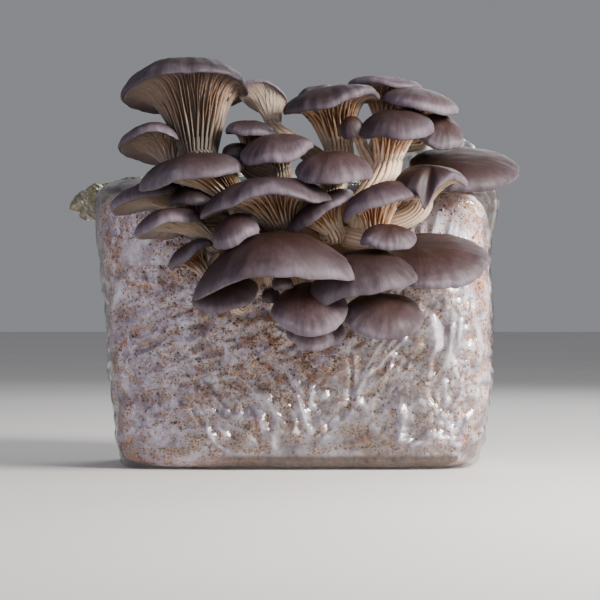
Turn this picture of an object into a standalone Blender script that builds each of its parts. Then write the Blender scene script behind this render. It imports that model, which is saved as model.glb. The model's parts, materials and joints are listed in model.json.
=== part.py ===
"""Oyster mushroom grow kit: a sawdust block in a film bag, with a flush of mushrooms growing from its front.

Lengths in the tables are millimetres, and MM turns them into metres. X runs to the right, Y to the back
and Z up. The bag stands on z = 0, and the origin is the middle of its footprint.
"""
import math
from types import SimpleNamespace

import bmesh
import bpy
import numpy as np
from mathutils import Matrix, Vector

MM = 0.001
GAP = 0.35                    # clearance between pieces that touch, mm

# Driving sizes of the wrapped block, mm
BLOCK_DEPTH = 127.0           # front to back
FILM = 0.6                    # film thickness with its small wrinkles
CORNER = 5.0                  # roundness of the block's outline: 2 is an ellipse, 10 almost a box
LOOP_POINTS = 24
LUMP = 0.5                    # height of the block's three slow bulges, which wind round it as they rise
LUMP_TWIST = 0.05             # radians for each millimetre of height

# Half-widths of the film's outline, left and right, and how far the depth is drawn in, at each height
BAG_LEVELS = [
    (0.0, 90.0, 90.0, 5.0),
    (1.6, 93.5, 93.8, 2.2),
    (9.0, 96.2, 96.8, 0.5),
    (50.0, 99.4, 100.4, 0.0),
    (86.0, 101.2, 101.2, 0.0),
    (104.0, 103.6, 100.2, 0.0),
    (124.0, 106.8, 102.8, 0.5),
    (138.0, 107.6, 104.6, 2.0),
    (145.5, 105.0, 103.0, 6.0),
    (149.0, 96.0, 95.0, 15.0),
    (150.5, 70.0, 70.0, 34.0),
]

# The same for the block itself, which is rounder at the top than the film over it
BLOCK_LEVELS = [
    (1.2, 86.0, 86.0, 8.0),
    (4.0, 92.0, 92.4, 3.6),
    (14.0, 95.4, 96.4, 1.4),
    (50.0, 98.2, 99.2, 1.1),
    (86.0, 100.0, 100.0, 1.1),
    (106.0, 101.0, 99.0, 1.1),
    (122.0, 101.0, 99.0, 2.0),
    (134.0, 97.0, 95.5, 5.5),
    (141.0, 88.0, 87.0, 14.0),
    (144.0, 68.0, 66.0, 32.0),
]

# The loose end of the bag stands up along the top: x, y and height of its edge
FLAP_EDGE = [
    (-109.0, -6.0, 146.0),
    (-98.0, 6.0, 151.0),
    (-84.0, -2.0, 153.0),
    (-66.0, 10.0, 154.0),
    (-44.0, 5.0, 155.0),
    (-22.0, 14.0, 155.0),
    (0.0, 8.0, 157.0),
    (20.0, 16.0, 160.0),
    (38.0, 6.0, 165.0),
    (54.0, 12.0, 172.0),
    (68.0, 3.0, 175.0),
    (80.0, 10.0, 172.0),
    (92.0, 4.0, 164.0),
    (100.0, 8.0, 153.0),
]
FLAP_FOOT = 143.0             # where the flap leaves the top of the bag
FLAP_THICKNESS = 1.6          # two or three layers of film
FLAP_LEAN = 3.0               # how far its edge leans forward

# The folded corner that sticks out at the top left
EAR_CENTRE = (-107.5, -12.0, 136.5)
EAR_RADII = (11.0, 13.0, 9.5)
EAR_CRUMPLE = 1.6

# The lump of grown-together stems in the slit
BASE_CENTRE = (0.0, -67.0, 117.0)
BASE_RADII = (41.0, 9.0, 22.0)
BASE_LUMPS = 2.2

INTO_BASE = (0.0, 1.0, -0.6)  # the way every stem runs as it meets the lump

# What a mushroom has unless its own row says otherwise
USUAL = dict(
    seat=(0.0, 0.45),         # where the stem joins the cap, in half-widths and half-lengths from its middle
    funnel=12.0,              # how far the gills run down the stem
    lean=(0.0, 0.5),          # the way the funnel leans, sideways and back
    flare=2.6,                # how sharply the gills turn down
    neck=5.0,                 # radius of the stem under the gills
    foot=5.0,                 # radius of the stem at its root
    hollow=0.45,              # how far the underside follows the dome
    lip=1.6,                  # thickness of the rolled margin
    sag=0.0,                  # how far the two sides hang down
    wave=0.6,                 # height of the waves in the margin
    lobes=0.03,               # unevenness of the outline
    swells=(),                # places where the outline grows: angle, spread, share of the radius
    lifts=(),                 # places where the margin lifts: angle, spread, height
    spin=0.0,                 # turn about the cap's own axis
    grows_from=None,          # a mushroom whose stem this one branches off
    branch_at=0.6,            # how far down that stem
)


def mushroom(name, place, size, turn, root=None, **own):
    """One mushroom: the cap's centre, its half-width, half-length and height, and its yaw, pitch and roll."""
    return SimpleNamespace(name=name, place=place, size=size, turn=turn, root=root, **{**USUAL, **own})


MUSHROOMS = [
    mushroom("arched", (-13, -114, 106.4), (41.5, 24, 12), (-2, 20, -6.5), (-8, -74, 109),
             sag=15, neck=7, foot=7, funnel=14),
    mushroom("lower_middle", (31, -104, 98.5), (27.5, 20, 11), (0, 26, -10), (16, -72, 103),
             sag=6, neck=6, foot=6, lifts=((215, 28, -4.5),)),
    mushroom("middle_round", (17.7, -107, 148.6), (19, 17, 10.5), (4, 17, -2), (12, -71, 131),
             seat=(0, 0.55), lean=(0, 1)),
    mushroom("middle_long", (-17.2, -107, 136.4), (32.5, 22, 10.5), (-3, 0, -7.3), (-4, -72, 109),
             sag=5, seat=(0, 0.7), funnel=17, lean=(0.4, 0.4), flare=2.5, neck=7, foot=6.5),
    mushroom("right_middle", (40, -103, 135), (21, 18, 9), (3, 2, -18), (25, -71, 117),
             sag=3, funnel=16, neck=6, foot=6, lean=(-0.4, 0.5)),
    mushroom("left_round", (-31, -109, 119), (12, 13, 9), (-30, 30, -10), (-23, -74, 113), neck=4, foot=4),
    mushroom("slanted", (11, -96, 130), (18.5, 15, 7), (0, 6, -32), (14, -71, 119), neck=5.5, foot=5.5),
    mushroom("middle_upper", (-11, -99, 159), (18.6, 16.5, 9), (0, 17, -8), (-11, -72, 132),
             lifts=((-25, 35, 3),)),
    mushroom("bottom_left", (5.5, -103, 81.5), (19, 18, 9), (-3, 42, -1), (0, -70, 97)),
    mushroom("bottom_right", (42, -97, 78), (20, 18, 9), (8, 36, 3), (24, -69, 98)),
    mushroom("left_broad", (-54, -100, 146.5), (25.8, 22, 12), (-8, 6, -11), (-24, -74, 124),
             seat=(0.4, 0.4), funnel=18, neck=6.5, foot=6, lean=(0.5, 0.25)),
    mushroom("twin_large", (49, -96, 171), (18, 17, 9.5), (5, 16, -3), (30, -76, 127),
             funnel=18, neck=7.5, foot=7, lean=(-0.2, 0.3)),
    mushroom("twin_small", (26.5, -93, 171), (6.3, 7, 7), (-10, 32, -10), neck=3, foot=3,
             grows_from="twin_large", branch_at=0.5),
    mushroom("upper_fan", (16.5, -89, 184), (24, 20, 9), (0, 4, -9), (15, -70, 134),
             funnel=22, neck=7.5, foot=7, lifts=((-50, 30, 2.5),)),
    mushroom("wavy", (65, -99, 145), (18.5, 16, 8), (10, 12, 2), (36, -70, 119),
             wave=1, lifts=((-105, 17, -10), (-50, 28, 4), (180, 40, -4))),
    mushroom("right_button", (44, -103, 116), (14, 10, 7), (5, 25, 0), (37, -71, 112), neck=3.5, foot=3.5,
             funnel=4, lean=(0, 0.6)),
    mushroom("top_left", (-57.5, -76, 191.5), (31.5, 29, 14.5), (0, -17, -4.5), (-32, -68, 134),
             seat=(0.26, 0.15), funnel=34, neck=9, foot=8.5, flare=2.3, lean=(-0.1, 0.1), sag=1),
    mushroom("left_cup", (-73, -74, 164), (17.3, 17, 10), (-12, -24, -8), seat=(0.5, 0.2), funnel=10,
             grows_from="top_left", branch_at=0.45),
    mushroom("left_shaded", (-53, -91, 136), (11.5, 12, 7), (-10, 8, 0), neck=4, foot=4, funnel=8,
             grows_from="left_upper", branch_at=0.5),
    mushroom("left_lower", (-64.5, -96, 122.5), (16, 17.5, 9), (-65, 10, -15), (-34, -71, 116),
             seat=(0, 0.6), funnel=9, lean=(0, 1)),
    mushroom("left_slim", (-54, -92, 109), (12.5, 9, 6), (-10, 5, -30), neck=3.5, foot=4,
             grows_from="left_lower", branch_at=0.7),
    mushroom("left_upper", (-75, -81, 136), (17, 20, 9), (-70, 9, -14), (-36, -68, 124),
             seat=(0, 0.6), funnel=9, lean=(0, 1)),
    mushroom("under_arch", (-36.5, -98, 89), (17.5, 16, 7), (-10, 28, -8), (-20, -70, 101), neck=4.5),
    mushroom("right_high", (61, -84, 184), (19.7, 18, 8), (15, 12, 8), neck=5, foot=5,
             grows_from="top_right", branch_at=0.5),
    mushroom("right_folded", (70, -79, 170.5), (13, 14, 7), (25, 38, 0), neck=4, foot=4,
             grows_from="right_high", branch_at=0.6),
    mushroom("far_right", (84, -67, 152.5), (28.5, 21, 8), (12, 30, 0), (38, -69, 126),
             seat=(-0.7, -0.2), neck=6, foot=6, funnel=10, lean=(-0.9, -0.1)),
    mushroom("lower_right", (66, -88, 105.5), (28, 24, 9), (6, 33, -4), (32, -70, 102),
             seat=(-0.3, 0.15), lean=(-0.5, 0.3), neck=5.5, foot=5.5, swells=((5, 22, 0.05), (180, 45, -0.2))),
    mushroom("bottom_tip", (8.5, -92, 70.5), (14.4, 13, 7), (0, 38, 0), neck=4, foot=4,
             grows_from="bottom_left", branch_at=0.6),
    mushroom("bud_upper", (-8, -102, 94.5), (5.5, 5, 4), (0, 20, 0), neck=2, foot=2.5, funnel=4, lean=(0.3, 1),
             grows_from="bottom_left", branch_at=0.75),
    mushroom("bud_lower", (-14, -96, 88), (4.5, 5, 4), (-10, 30, 0), neck=2, foot=2.5, funnel=4,
             grows_from="bottom_left", branch_at=0.75),
    mushroom("top_right", (44, -68, 194), (19.5, 18, 5), (5, -4, 5), (36, -66, 135),
             seat=(0, 0.1), lean=(0, 0), funnel=16, flare=2, foot=6.5),
    mushroom("back_small", (-24, -84, 170), (12.8, 11, 6), (-5, 2, 7), neck=3.5, foot=3.5,
             grows_from="middle_upper", branch_at=0.3),
    mushroom("back_bud", (-31, -80, 160), (8, 9, 5), (-20, 14, 0), neck=3, foot=3, funnel=7,
             grows_from="middle_upper", branch_at=0.5),
    mushroom("curled", (-18.5, -68, 189.5), (13, 8.5, 2.5), (0, -62, 0), spin=19, seat=(0.55, 0.5),
             neck=4, foot=5.5, funnel=10, lean=(0.2, 0.5), grows_from="upper_fan", branch_at=0.6),
    mushroom("back_curl", (9, -59, 192), (9, 8, 3), (0, -10, -10), seat=(0, 0.1), lean=(0, 0),
             neck=3, foot=4, grows_from="upper_fan", branch_at=0.5),
]
INDEX = {one.name: number for number, one in enumerate(MUSHROOMS)}

# The rows of points of a turned cap, from the middle of its top, round the margin, to the neck
CAP_ROWS = [
    ("top", 0.0), ("top", 0.5), ("top", 0.84), ("top", 1.0),
    ("under", 0.96), ("under", 0.55), ("under", 0.22), ("under", 0.0), ("neck", 0.0),
]
CAP_SIDES_SMALL = 7
CAP_SIDES_PER_MM = 0.22       # more sides on a wider cap
DOME_SQUARENESS = 2.2         # the dome is flat in the middle and turns down at the margin
DOME_POWER = 0.6

# Colours of the plain materials
CAP_COLOUR = (0.30, 0.23, 0.23)
STEM_COLOUR = (0.75, 0.60, 0.42)
BLOCK_COLOUR = (0.72, 0.66, 0.58)
FILM_COLOUR = (0.80, 0.80, 0.80)


def clear_scene():
    """Removes what a new file holds."""
    for thing in list(bpy.data.objects):
        bpy.data.objects.remove(thing, do_unlink=True)


def material(name, colour, roughness, alpha=1.0):
    """A plain coloured surface."""
    made = bpy.data.materials.new(name)
    made.use_nodes = True
    shader = made.node_tree.nodes["Principled BSDF"]
    shader.inputs["Base Color"].default_value = (*colour, 1.0)
    shader.inputs["Roughness"].default_value = roughness
    shader.inputs["Metallic"].default_value = 0.0
    shader.inputs["Alpha"].default_value = alpha
    return made


def new_object(name, mesh, surface, parent=None):
    """Adds a mesh to the scene under a parent."""
    thing = bpy.data.objects.new(name, mesh)
    bpy.context.scene.collection.objects.link(thing)
    mesh.materials.clear()
    mesh.materials.append(surface)
    thing.parent = parent
    return thing


def finish_mesh(bm, name):
    """Turns a bmesh into a mesh of triangles with its faces pointing out."""
    bmesh.ops.recalc_face_normals(bm, faces=bm.faces)
    bmesh.ops.triangulate(bm, faces=bm.faces)
    mesh = bpy.data.meshes.new(name)
    bm.to_mesh(mesh)
    bm.free()
    return mesh


# The shape of a cap. x and y are in the cap's own plane, with the front at -y, and z is its axis.

def margin_swell(one, angle):
    """How far the outline stands out from an ellipse, as a share of the radius."""
    chance = np.random.default_rng(1000 + INDEX[one.name])
    swell = np.ones_like(angle)
    for count in (2, 3, 4, 5):
        size = one.lobes * chance.uniform(-1, 1) * 1.4 / math.sqrt(count)
        swell = swell + size * np.cos(count * angle + chance.uniform(0, math.tau))
    for where, spread, amount in one.swells:
        swell = swell + amount * falloff(angle, where, spread)
    return swell


def falloff(angle, where, spread):
    """1 at an angle round the cap and 0 away from it; degrees."""
    apart = np.angle(np.exp(1j * (angle - math.radians(where))))
    return np.exp(-(apart / math.radians(spread)) ** 2)


def margin_points(one, angle):
    """The outline of the cap at some angles."""
    half_width, half_length, _ = one.size
    swell = margin_swell(one, angle)
    return np.stack([half_width * np.cos(angle) * swell, half_length * np.sin(angle) * swell], axis=-1)


def seat_point(one):
    """Where the stem joins the cap."""
    return np.array([one.seat[0] * one.size[0], one.seat[1] * one.size[1]])


def reach(one, flat):
    """How near the margin a point of the plane is, from 0 in the middle to 1, and its angle."""
    u = flat[..., 0] / one.size[0]
    v = flat[..., 1] / one.size[1]
    angle = np.arctan2(v, u)
    return np.clip(np.hypot(u, v) / margin_swell(one, angle), 0, 1), angle


def bend(one, flat, near, angle):
    """How far the cap is bent up or down by its sagging sides, lifts and waves."""
    u = flat[..., 0] / one.size[0]
    height = -one.sag * u * u
    for where, spread, amount in one.lifts:
        height = height + amount * near ** 2.5 * falloff(angle, where, spread)
    phase = 1.7 * (INDEX[one.name] + 1)
    ripple = np.sin(3 * angle + phase) + 0.6 * np.sin(5 * angle + 2.1 * phase + 1)
    return height + one.wave * near ** 3 * ripple


def dome(one, near):
    """Height of the cap's top above its margin."""
    return one.size[2] * (1 - near ** DOME_SQUARENESS) ** DOME_POWER


def top_points(one, share, angle):
    """Points on the top, at a share of the way from the seat to the margin."""
    seat = seat_point(one)
    flat = seat + (margin_points(one, angle) - seat) * share[..., None]
    near, around = reach(one, flat)
    height = dome(one, near) + bend(one, flat, near, around)
    return np.concatenate([flat, height[..., None]], axis=-1)


def under_points(one, share, angle):
    """Points on the underside, from the neck at 0 to the margin at 1. The gills run down onto the stem."""
    seat = seat_point(one)
    out = margin_points(one, angle) - seat
    length = np.linalg.norm(out, axis=-1)
    radius = one.neck + (length - one.neck) * share
    flat = seat + out * (radius / length)[..., None]
    near, around = reach(one, flat)
    down = (1 - share) ** one.flare
    below_dome = one.hollow * dome(one, near) - one.lip + bend(one, flat, near, around)
    height = (1 - down) * below_dome + down * (seat_height(one) - one.funnel)
    flat = flat + down[..., None] * np.array(one.lean) * one.funnel
    return np.concatenate([flat, height[..., None]], axis=-1)


def seat_height(one):
    """How far the bend moves the seat."""
    seat = seat_point(one)[None]
    near, around = reach(one, seat)
    return bend(one, seat, near, around)[0]


def neck_point(one):
    """The middle of the neck, in the cap's own frame."""
    x, y = seat_point(one) + np.array(one.lean) * one.funnel
    return Vector((x, y, seat_height(one) - one.funnel))


def cap_matrix(one):
    """Places the cap: spin, roll, pitch and yaw, then its place."""
    yaw, pitch, roll = (math.radians(value) for value in one.turn)
    turn = Matrix.Rotation(yaw, 4, "Z") @ Matrix.Rotation(pitch, 4, "X") @ Matrix.Rotation(roll, 4, "Y")
    turn = turn @ Matrix.Rotation(math.radians(one.spin), 4, "Z")
    return Matrix.Translation(Vector(one.place) * MM) @ turn


def turned_rows(rows, sides):
    """A ring of points for each row, turned about Z, and a single point for a row at either end."""
    bm = bmesh.new()
    profile = []
    for number in range(len(rows)):
        at_end = number in (0, len(rows) - 1)
        profile.append(bm.verts.new((0.0 if at_end else 1.0, 0.0, -float(number))))
    edges = [bm.edges.new(pair) for pair in zip(profile, profile[1:])]
    bmesh.ops.spin(bm, geom=profile + edges, axis=(0, 0, 1), cent=(0, 0, 0), angle=math.tau, steps=sides)
    bmesh.ops.remove_doubles(bm, verts=bm.verts, dist=0.001)
    return bm


def cap_mesh(one):
    """Turns the rows into a round body, and moves each point to its place on the cap."""
    sides = CAP_SIDES_SMALL + round(one.size[0] * CAP_SIDES_PER_MM)
    bm = turned_rows(CAP_ROWS, sides)
    for vert in bm.verts:
        side, share = CAP_ROWS[round(-vert.co.z)]
        angle = np.array([math.atan2(vert.co.y, vert.co.x)])
        if side == "top":
            vert.co = Vector(top_points(one, np.array([share]), angle)[0]) * MM
        elif side == "under":
            vert.co = Vector(under_points(one, np.array([share]), angle)[0]) * MM
        else:
            vert.co = neck_point(one) * MM
    return finish_mesh(bm, "cap_" + one.name)


def add_cap(one, surface, parent):
    """Adds a cap as its own object, in its place."""
    cap = new_object("cap_" + one.name, cap_mesh(one), surface, parent)
    cap.matrix_world = cap_matrix(one)
    return cap


# Stems. A stem is a tapered curve from just under the neck to its root.

STEM_STEPS = 4
STEM_HANDLE = 0.32            # length of the curve's handles, as a share of the stem
NECK_FIT = 0.96               # stem radius to neck radius


def stem_ends(one):
    """Start and end of a stem and the way it runs at each, in metres."""
    placed = cap_matrix(one)
    start = placed @ (neck_point(one) * MM)
    away = placed.to_3x3() @ Vector((0.0, 0.0, -1.0))
    into = Vector(INTO_BASE).normalized()
    if one.grows_from:
        parent = next(other for other in MUSHROOMS if other.name == one.grows_from)
        end = stem_point(parent, one.branch_at)
        into = (stem_point(parent, one.branch_at + 0.05) - end).normalized()
    else:
        end = Vector(one.root) * MM
    return start + away * GAP * MM, away, end, into


def stem_handles(one):
    """The four control points of the stem's curve."""
    start, away, end, into = stem_ends(one)
    handle = (end - start).length * STEM_HANDLE
    return start, start + away * handle, end - into * handle, end


def stem_point(one, share):
    """A point part of the way down a stem."""
    a, b, c, d = stem_handles(one)
    rest = 1 - share
    return a * rest ** 3 + b * 3 * rest ** 2 * share + c * 3 * rest * share ** 2 + d * share ** 3


def stem_mesh(one):
    """A tapered round curve with closed ends, as a mesh."""
    start, start_handle, end_handle, end = stem_handles(one)
    curve = bpy.data.curves.new("stem_curve", "CURVE")
    curve.dimensions = "3D"
    curve.resolution_u = STEM_STEPS
    curve.bevel_depth = one.neck * NECK_FIT * MM
    curve.bevel_resolution = 1
    curve.use_fill_caps = True
    spline = curve.splines.new("BEZIER")
    spline.bezier_points.add(1)
    first, last = spline.bezier_points
    for point in (first, last):
        point.handle_left_type = "FREE"
        point.handle_right_type = "FREE"
    first.co, first.handle_right = start, start_handle
    first.handle_left = start * 2 - start_handle
    last.co, last.handle_left = end, end_handle
    last.handle_right = end * 2 - end_handle
    first.radius = 1.0
    last.radius = one.foot / one.neck
    guide = bpy.data.objects.new("stem_guide", curve)
    bpy.context.scene.collection.objects.link(guide)
    bpy.context.view_layer.update()
    mesh = bpy.data.meshes.new_from_object(guide.evaluated_get(bpy.context.evaluated_depsgraph_get()))
    bpy.data.objects.remove(guide, do_unlink=True)
    bm = bmesh.new()
    bm.from_mesh(mesh)
    bmesh.ops.remove_doubles(bm, verts=bm.verts, dist=0.00001)
    return finish_mesh(bm, "stem_" + one.name)


def add_stem(one, surface, parent):
    """Adds a stem with the smaller ones that branch off it, joined into one body."""
    stem = new_object("stem_" + one.name, stem_mesh(one), surface, parent)
    for other in MUSHROOMS:
        if other.grows_from == one.name:
            branch = new_object("branch", stem_mesh(other), surface)
            combine(stem, branch, "UNION")
            bpy.data.objects.remove(branch, do_unlink=True)
    return stem


# Joining and cutting

def combine(body, other, operation, keep_scraps=False):
    """Joins another body to this one, or cuts it away.

    The EXACT solver drops some of these thin curved cuts, and MANIFOLD keeps them.
    """
    change = body.modifiers.new("combine", "BOOLEAN")
    change.operation = operation
    change.solver = "MANIFOLD"
    change.object = other
    bpy.context.view_layer.update()
    mesh = bpy.data.meshes.new_from_object(body.evaluated_get(bpy.context.evaluated_depsgraph_get()))
    body.modifiers.remove(change)
    bm = bmesh.new()
    bm.from_mesh(mesh)
    bmesh.ops.triangulate(bm, faces=bm.faces)
    if not keep_scraps:
        keep_largest(bm)
    bm.to_mesh(mesh)
    bm.free()
    body.data = mesh


def keep_largest(bm):
    """Removes every loose scrap but the largest body."""
    bm.verts.ensure_lookup_table()
    unseen = set(bm.verts)
    bodies = []
    while unseen:
        body = set()
        edge_of_body = [unseen.pop()]
        while edge_of_body:
            vert = edge_of_body.pop()
            body.add(vert)
            for edge in vert.link_edges:
                other = edge.other_vert(vert)
                if other in unseen:
                    unseen.discard(other)
                    edge_of_body.append(other)
        bodies.append(body)
    bodies.sort(key=box_volume)
    for body in bodies[:-1]:
        bmesh.ops.delete(bm, geom=list(body), context="VERTS")


def box_volume(verts):
    """Volume of the box round some points."""
    spans = [max(v.co[axis] for v in verts) - min(v.co[axis] for v in verts) for axis in range(3)]
    return spans[0] * spans[1] * spans[2]


def world_box(thing):
    """The lowest and highest corner of an object's box."""
    corners = [thing.matrix_world @ Vector(corner) for corner in thing.bound_box]
    low = [min(corner[axis] for corner in corners) for axis in range(3)]
    high = [max(corner[axis] for corner in corners) for axis in range(3)]
    return low, high


def boxes_meet(first, second):
    """Whether the boxes of two objects come within the clearance of each other."""
    low_a, high_a = world_box(first)
    low_b, high_b = world_box(second)
    room = GAP * MM
    return all(low_a[axis] - room < high_b[axis] and low_b[axis] - room < high_a[axis] for axis in range(3))


def make_room(body, neighbour):
    """Cuts a neighbour out of a body, with the clearance all round it."""
    if not boxes_meet(body, neighbour):
        return
    bm = bmesh.new()
    bm.from_mesh(neighbour.data)
    bm.normal_update()
    for vert in bm.verts:
        vert.co += vert.normal * vert.calc_shell_factor() * GAP * MM
    swollen = bpy.data.meshes.new("swollen")
    bm.to_mesh(swollen)
    bm.free()
    cutter = bpy.data.objects.new("cutter", swollen)
    bpy.context.scene.collection.objects.link(cutter)
    cutter.matrix_world = neighbour.matrix_world
    combine(body, cutter, "DIFFERENCE")
    bpy.data.objects.remove(cutter, do_unlink=True)


# The wrapped block

def outline_loop(bm, height, left, right, drawn_in, inset):
    """One level of the block: a circle pulled out to a rounded rectangle."""
    ring = bmesh.ops.create_circle(bm, segments=LOOP_POINTS, radius=1.0)["verts"]
    half_depth = BLOCK_DEPTH / 2 - drawn_in - inset
    for vert in ring:
        angle = math.atan2(vert.co.y, vert.co.x)
        c, s = math.cos(angle), math.sin(angle)
        out = (abs(c) ** CORNER + abs(s) ** CORNER) ** (-1 / CORNER)
        half_width = (right if c > 0 else left) - inset
        lump = LUMP * math.sin(3 * angle + height * LUMP_TWIST)
        vert.co = Vector(((half_width + lump) * out * c, (half_depth + lump) * out * s, height)) * MM
    return list({edge for vert in ring for edge in vert.link_edges})


def stacked_loops(levels, inset=0.0, rise=0.0):
    """A closed body through a stack of outlines; inset and rise draw it in at the sides and at both ends."""
    bm = bmesh.new()
    loops = []
    for number, (height, left, right, drawn_in) in enumerate(levels):
        lifted = height + rise * (1 - 2 * number / (len(levels) - 1))
        loops.append(outline_loop(bm, lifted, left, right, drawn_in, inset))
    for lower, upper in zip(loops, loops[1:]):
        bmesh.ops.bridge_loops(bm, edges=lower + upper)
    for loop in (loops[0], loops[-1]):
        bmesh.ops.contextual_create(bm, geom=loop)
    return bm


def flap_mesh():
    """The loose end of the bag: a pleated strip of film along the top."""
    bm = bmesh.new()
    lower = [bm.verts.new(Vector((x, y, FLAP_FOOT)) * MM) for x, y, _ in FLAP_EDGE]
    edges = [bm.edges.new(pair) for pair in zip(lower, lower[1:])]
    raised = bmesh.ops.extrude_edge_only(bm, edges=edges)["geom"]
    upper = sorted((v for v in raised if isinstance(v, bmesh.types.BMVert)), key=lambda v: v.co.x)
    for vert, (x, y, height) in zip(upper, FLAP_EDGE):
        vert.co = Vector((x, y - FLAP_LEAN, height)) * MM
    bmesh.ops.recalc_face_normals(bm, faces=bm.faces)
    bmesh.ops.solidify(bm, geom=bm.faces[:], thickness=FLAP_THICKNESS * MM)
    return finish_mesh(bm, "flap")


def ear_mesh():
    """The folded corner: a flattened, crumpled ball."""
    bm = bmesh.new()
    bmesh.ops.create_icosphere(bm, subdivisions=2, radius=1.0)
    for vert in bm.verts:
        x, y, z = vert.co
        crumple = EAR_CRUMPLE * math.sin(5 * x + 3 * z) * math.cos(4 * y + 2 * z)
        spread = Vector((x * EAR_RADII[0], y * EAR_RADII[1], z * EAR_RADII[2]))
        vert.co = (Vector(EAR_CENTRE) + spread + vert.co * crumple) * MM
    return finish_mesh(bm, "ear")


def add_bag(surface, parent):
    """The film bag: the outline, the flap and the ear, hollowed for the block."""
    bag = new_object("grow_bag", finish_mesh(stacked_loops(BAG_LEVELS), "grow_bag"), surface, parent)
    for extra in (flap_mesh(), ear_mesh()):
        other = new_object("extra", extra, surface)
        combine(bag, other, "UNION")
        bpy.data.objects.remove(other, do_unlink=True)
    hollow = new_object("hollow", finish_mesh(stacked_loops(BAG_LEVELS, FILM, FILM), "hollow"), surface)
    combine(bag, hollow, "DIFFERENCE", keep_scraps=True)
    bpy.data.objects.remove(hollow, do_unlink=True)
    return bag


def add_block(surface, parent):
    """The pressed block inside the film."""
    mesh = finish_mesh(stacked_loops(BLOCK_LEVELS), "substrate_block")
    return new_object("substrate_block", mesh, surface, parent)


def add_base(surface, parent):
    """The lump of grown-together stems: a flattened ball with uneven swellings."""
    bm = bmesh.new()
    bmesh.ops.create_icosphere(bm, subdivisions=2, radius=1.0)
    for vert in bm.verts:
        x, y, z = vert.co
        lump = BASE_LUMPS * math.sin(7 * x + 1) * math.cos(4 * z + y)
        spread = Vector((x * BASE_RADII[0], y * BASE_RADII[1], z * BASE_RADII[2]))
        vert.co = (Vector(BASE_CENTRE) + spread + vert.co * lump) * MM
    mesh = finish_mesh(bm, "cluster_base")
    return new_object("cluster_base", mesh, surface, parent)


def main():
    clear_scene()
    cap_surface = material("mushroom cap", CAP_COLOUR, 0.55)
    stem_surface = material("mushroom stem", STEM_COLOUR, 0.7)
    block_surface = material("mycelium block", BLOCK_COLOUR, 0.9)
    film_surface = material("clear film", FILM_COLOUR, 0.15, alpha=0.35)
    kit = bpy.data.objects.new("grow_kit", None)
    flush = bpy.data.objects.new("mushroom_flush", None)
    for empty in (kit, flush):
        bpy.context.scene.collection.objects.link(empty)
    flush.parent = kit

    block = add_block(block_surface, kit)
    bag = add_bag(film_surface, kit)
    base = add_base(stem_surface, flush)
    make_room(base, block)
    caps = [add_cap(one, cap_surface, flush) for one in MUSHROOMS]
    stems = [add_stem(one, stem_surface, flush) for one in MUSHROOMS if not one.grows_from]
    bpy.context.view_layer.update()

    # A cap nearer the front keeps its shape, and what is behind it makes room
    done = []
    for piece in caps:
        for neighbour in done:
            make_room(piece, neighbour)
        done.append(piece)
    for neighbour in caps:
        make_room(base, neighbour)
    for stem in stems:
        for neighbour in caps + [base]:
            make_room(stem, neighbour)
    settled = []
    for stem in stems:
        for neighbour in settled:
            make_room(stem, neighbour)
        settled.append(stem)
    for neighbour in [base] + stems + caps:
        make_room(bag, neighbour)


if __name__ == "__main__":
    main()
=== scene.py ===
# %% [markdown]
# # Oyster mushroom grow kit
#
# A pressed sawdust block, white with mycelium, sits in a clear film bag. A dense flush of lilac-grey oyster
# mushrooms grows out of a slit in its front. This lesson dresses the plain solids of the model: it gives each
# cap its smooth skin and its gills, each stem its ribs, the block its sawdust specks and the film its
# wrinkles.

# %% The model
import json
import math
from types import SimpleNamespace

import bmesh
import bpy
import numpy as np
from mathutils import Matrix, Vector, noise

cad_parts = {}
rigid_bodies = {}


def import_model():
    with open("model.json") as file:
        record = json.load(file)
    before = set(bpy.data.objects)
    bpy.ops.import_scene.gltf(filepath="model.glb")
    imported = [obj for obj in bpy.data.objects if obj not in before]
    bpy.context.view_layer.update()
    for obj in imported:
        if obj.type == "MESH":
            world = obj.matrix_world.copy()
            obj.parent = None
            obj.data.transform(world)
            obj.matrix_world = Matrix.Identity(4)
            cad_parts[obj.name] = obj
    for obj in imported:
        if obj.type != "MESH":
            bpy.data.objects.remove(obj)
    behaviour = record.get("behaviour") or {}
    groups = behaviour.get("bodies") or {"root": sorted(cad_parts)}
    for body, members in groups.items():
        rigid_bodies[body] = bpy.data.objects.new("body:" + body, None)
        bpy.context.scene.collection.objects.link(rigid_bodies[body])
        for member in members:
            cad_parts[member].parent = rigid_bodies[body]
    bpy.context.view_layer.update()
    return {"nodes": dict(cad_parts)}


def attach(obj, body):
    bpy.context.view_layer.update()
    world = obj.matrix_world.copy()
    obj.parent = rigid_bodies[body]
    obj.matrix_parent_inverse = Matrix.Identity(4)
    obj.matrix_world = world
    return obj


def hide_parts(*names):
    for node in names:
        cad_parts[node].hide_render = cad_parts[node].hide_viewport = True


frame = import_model()
MM = 0.001
print("solids in the model:", len(frame["nodes"]))

# %% [markdown]
# ## Camera, light and floor
#
# One large soft lamp from the upper right is the main light, and a dim cool one from the left opens the
# shadows. The floor is plain and pale.

# %% Camera
EYE = Vector((0.5, -1450.0, 86.4)) * MM
LENS = 164.0
SENSOR = 36.0                 # width of the sensor, mm


def in_scene(name, data):
    """A new object in the scene."""
    made = bpy.data.objects.new(name, data)
    bpy.context.scene.collection.objects.link(made)
    return made


eye = in_scene("eye", bpy.data.cameras.new("eye"))
eye.data.lens = LENS
eye.data.sensor_width = SENSOR
eye.location = EYE
eye.rotation_euler = (math.pi / 2, 0.0, 0.0)
bpy.context.scene.camera = eye
print("camera at", [round(value, 3) for value in EYE])


# %% Lamps and the light of the room
ROOM_COLOUR = (0.90, 0.92, 1.0, 1.0)
ROOM_STRENGTH = 0.28


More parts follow.
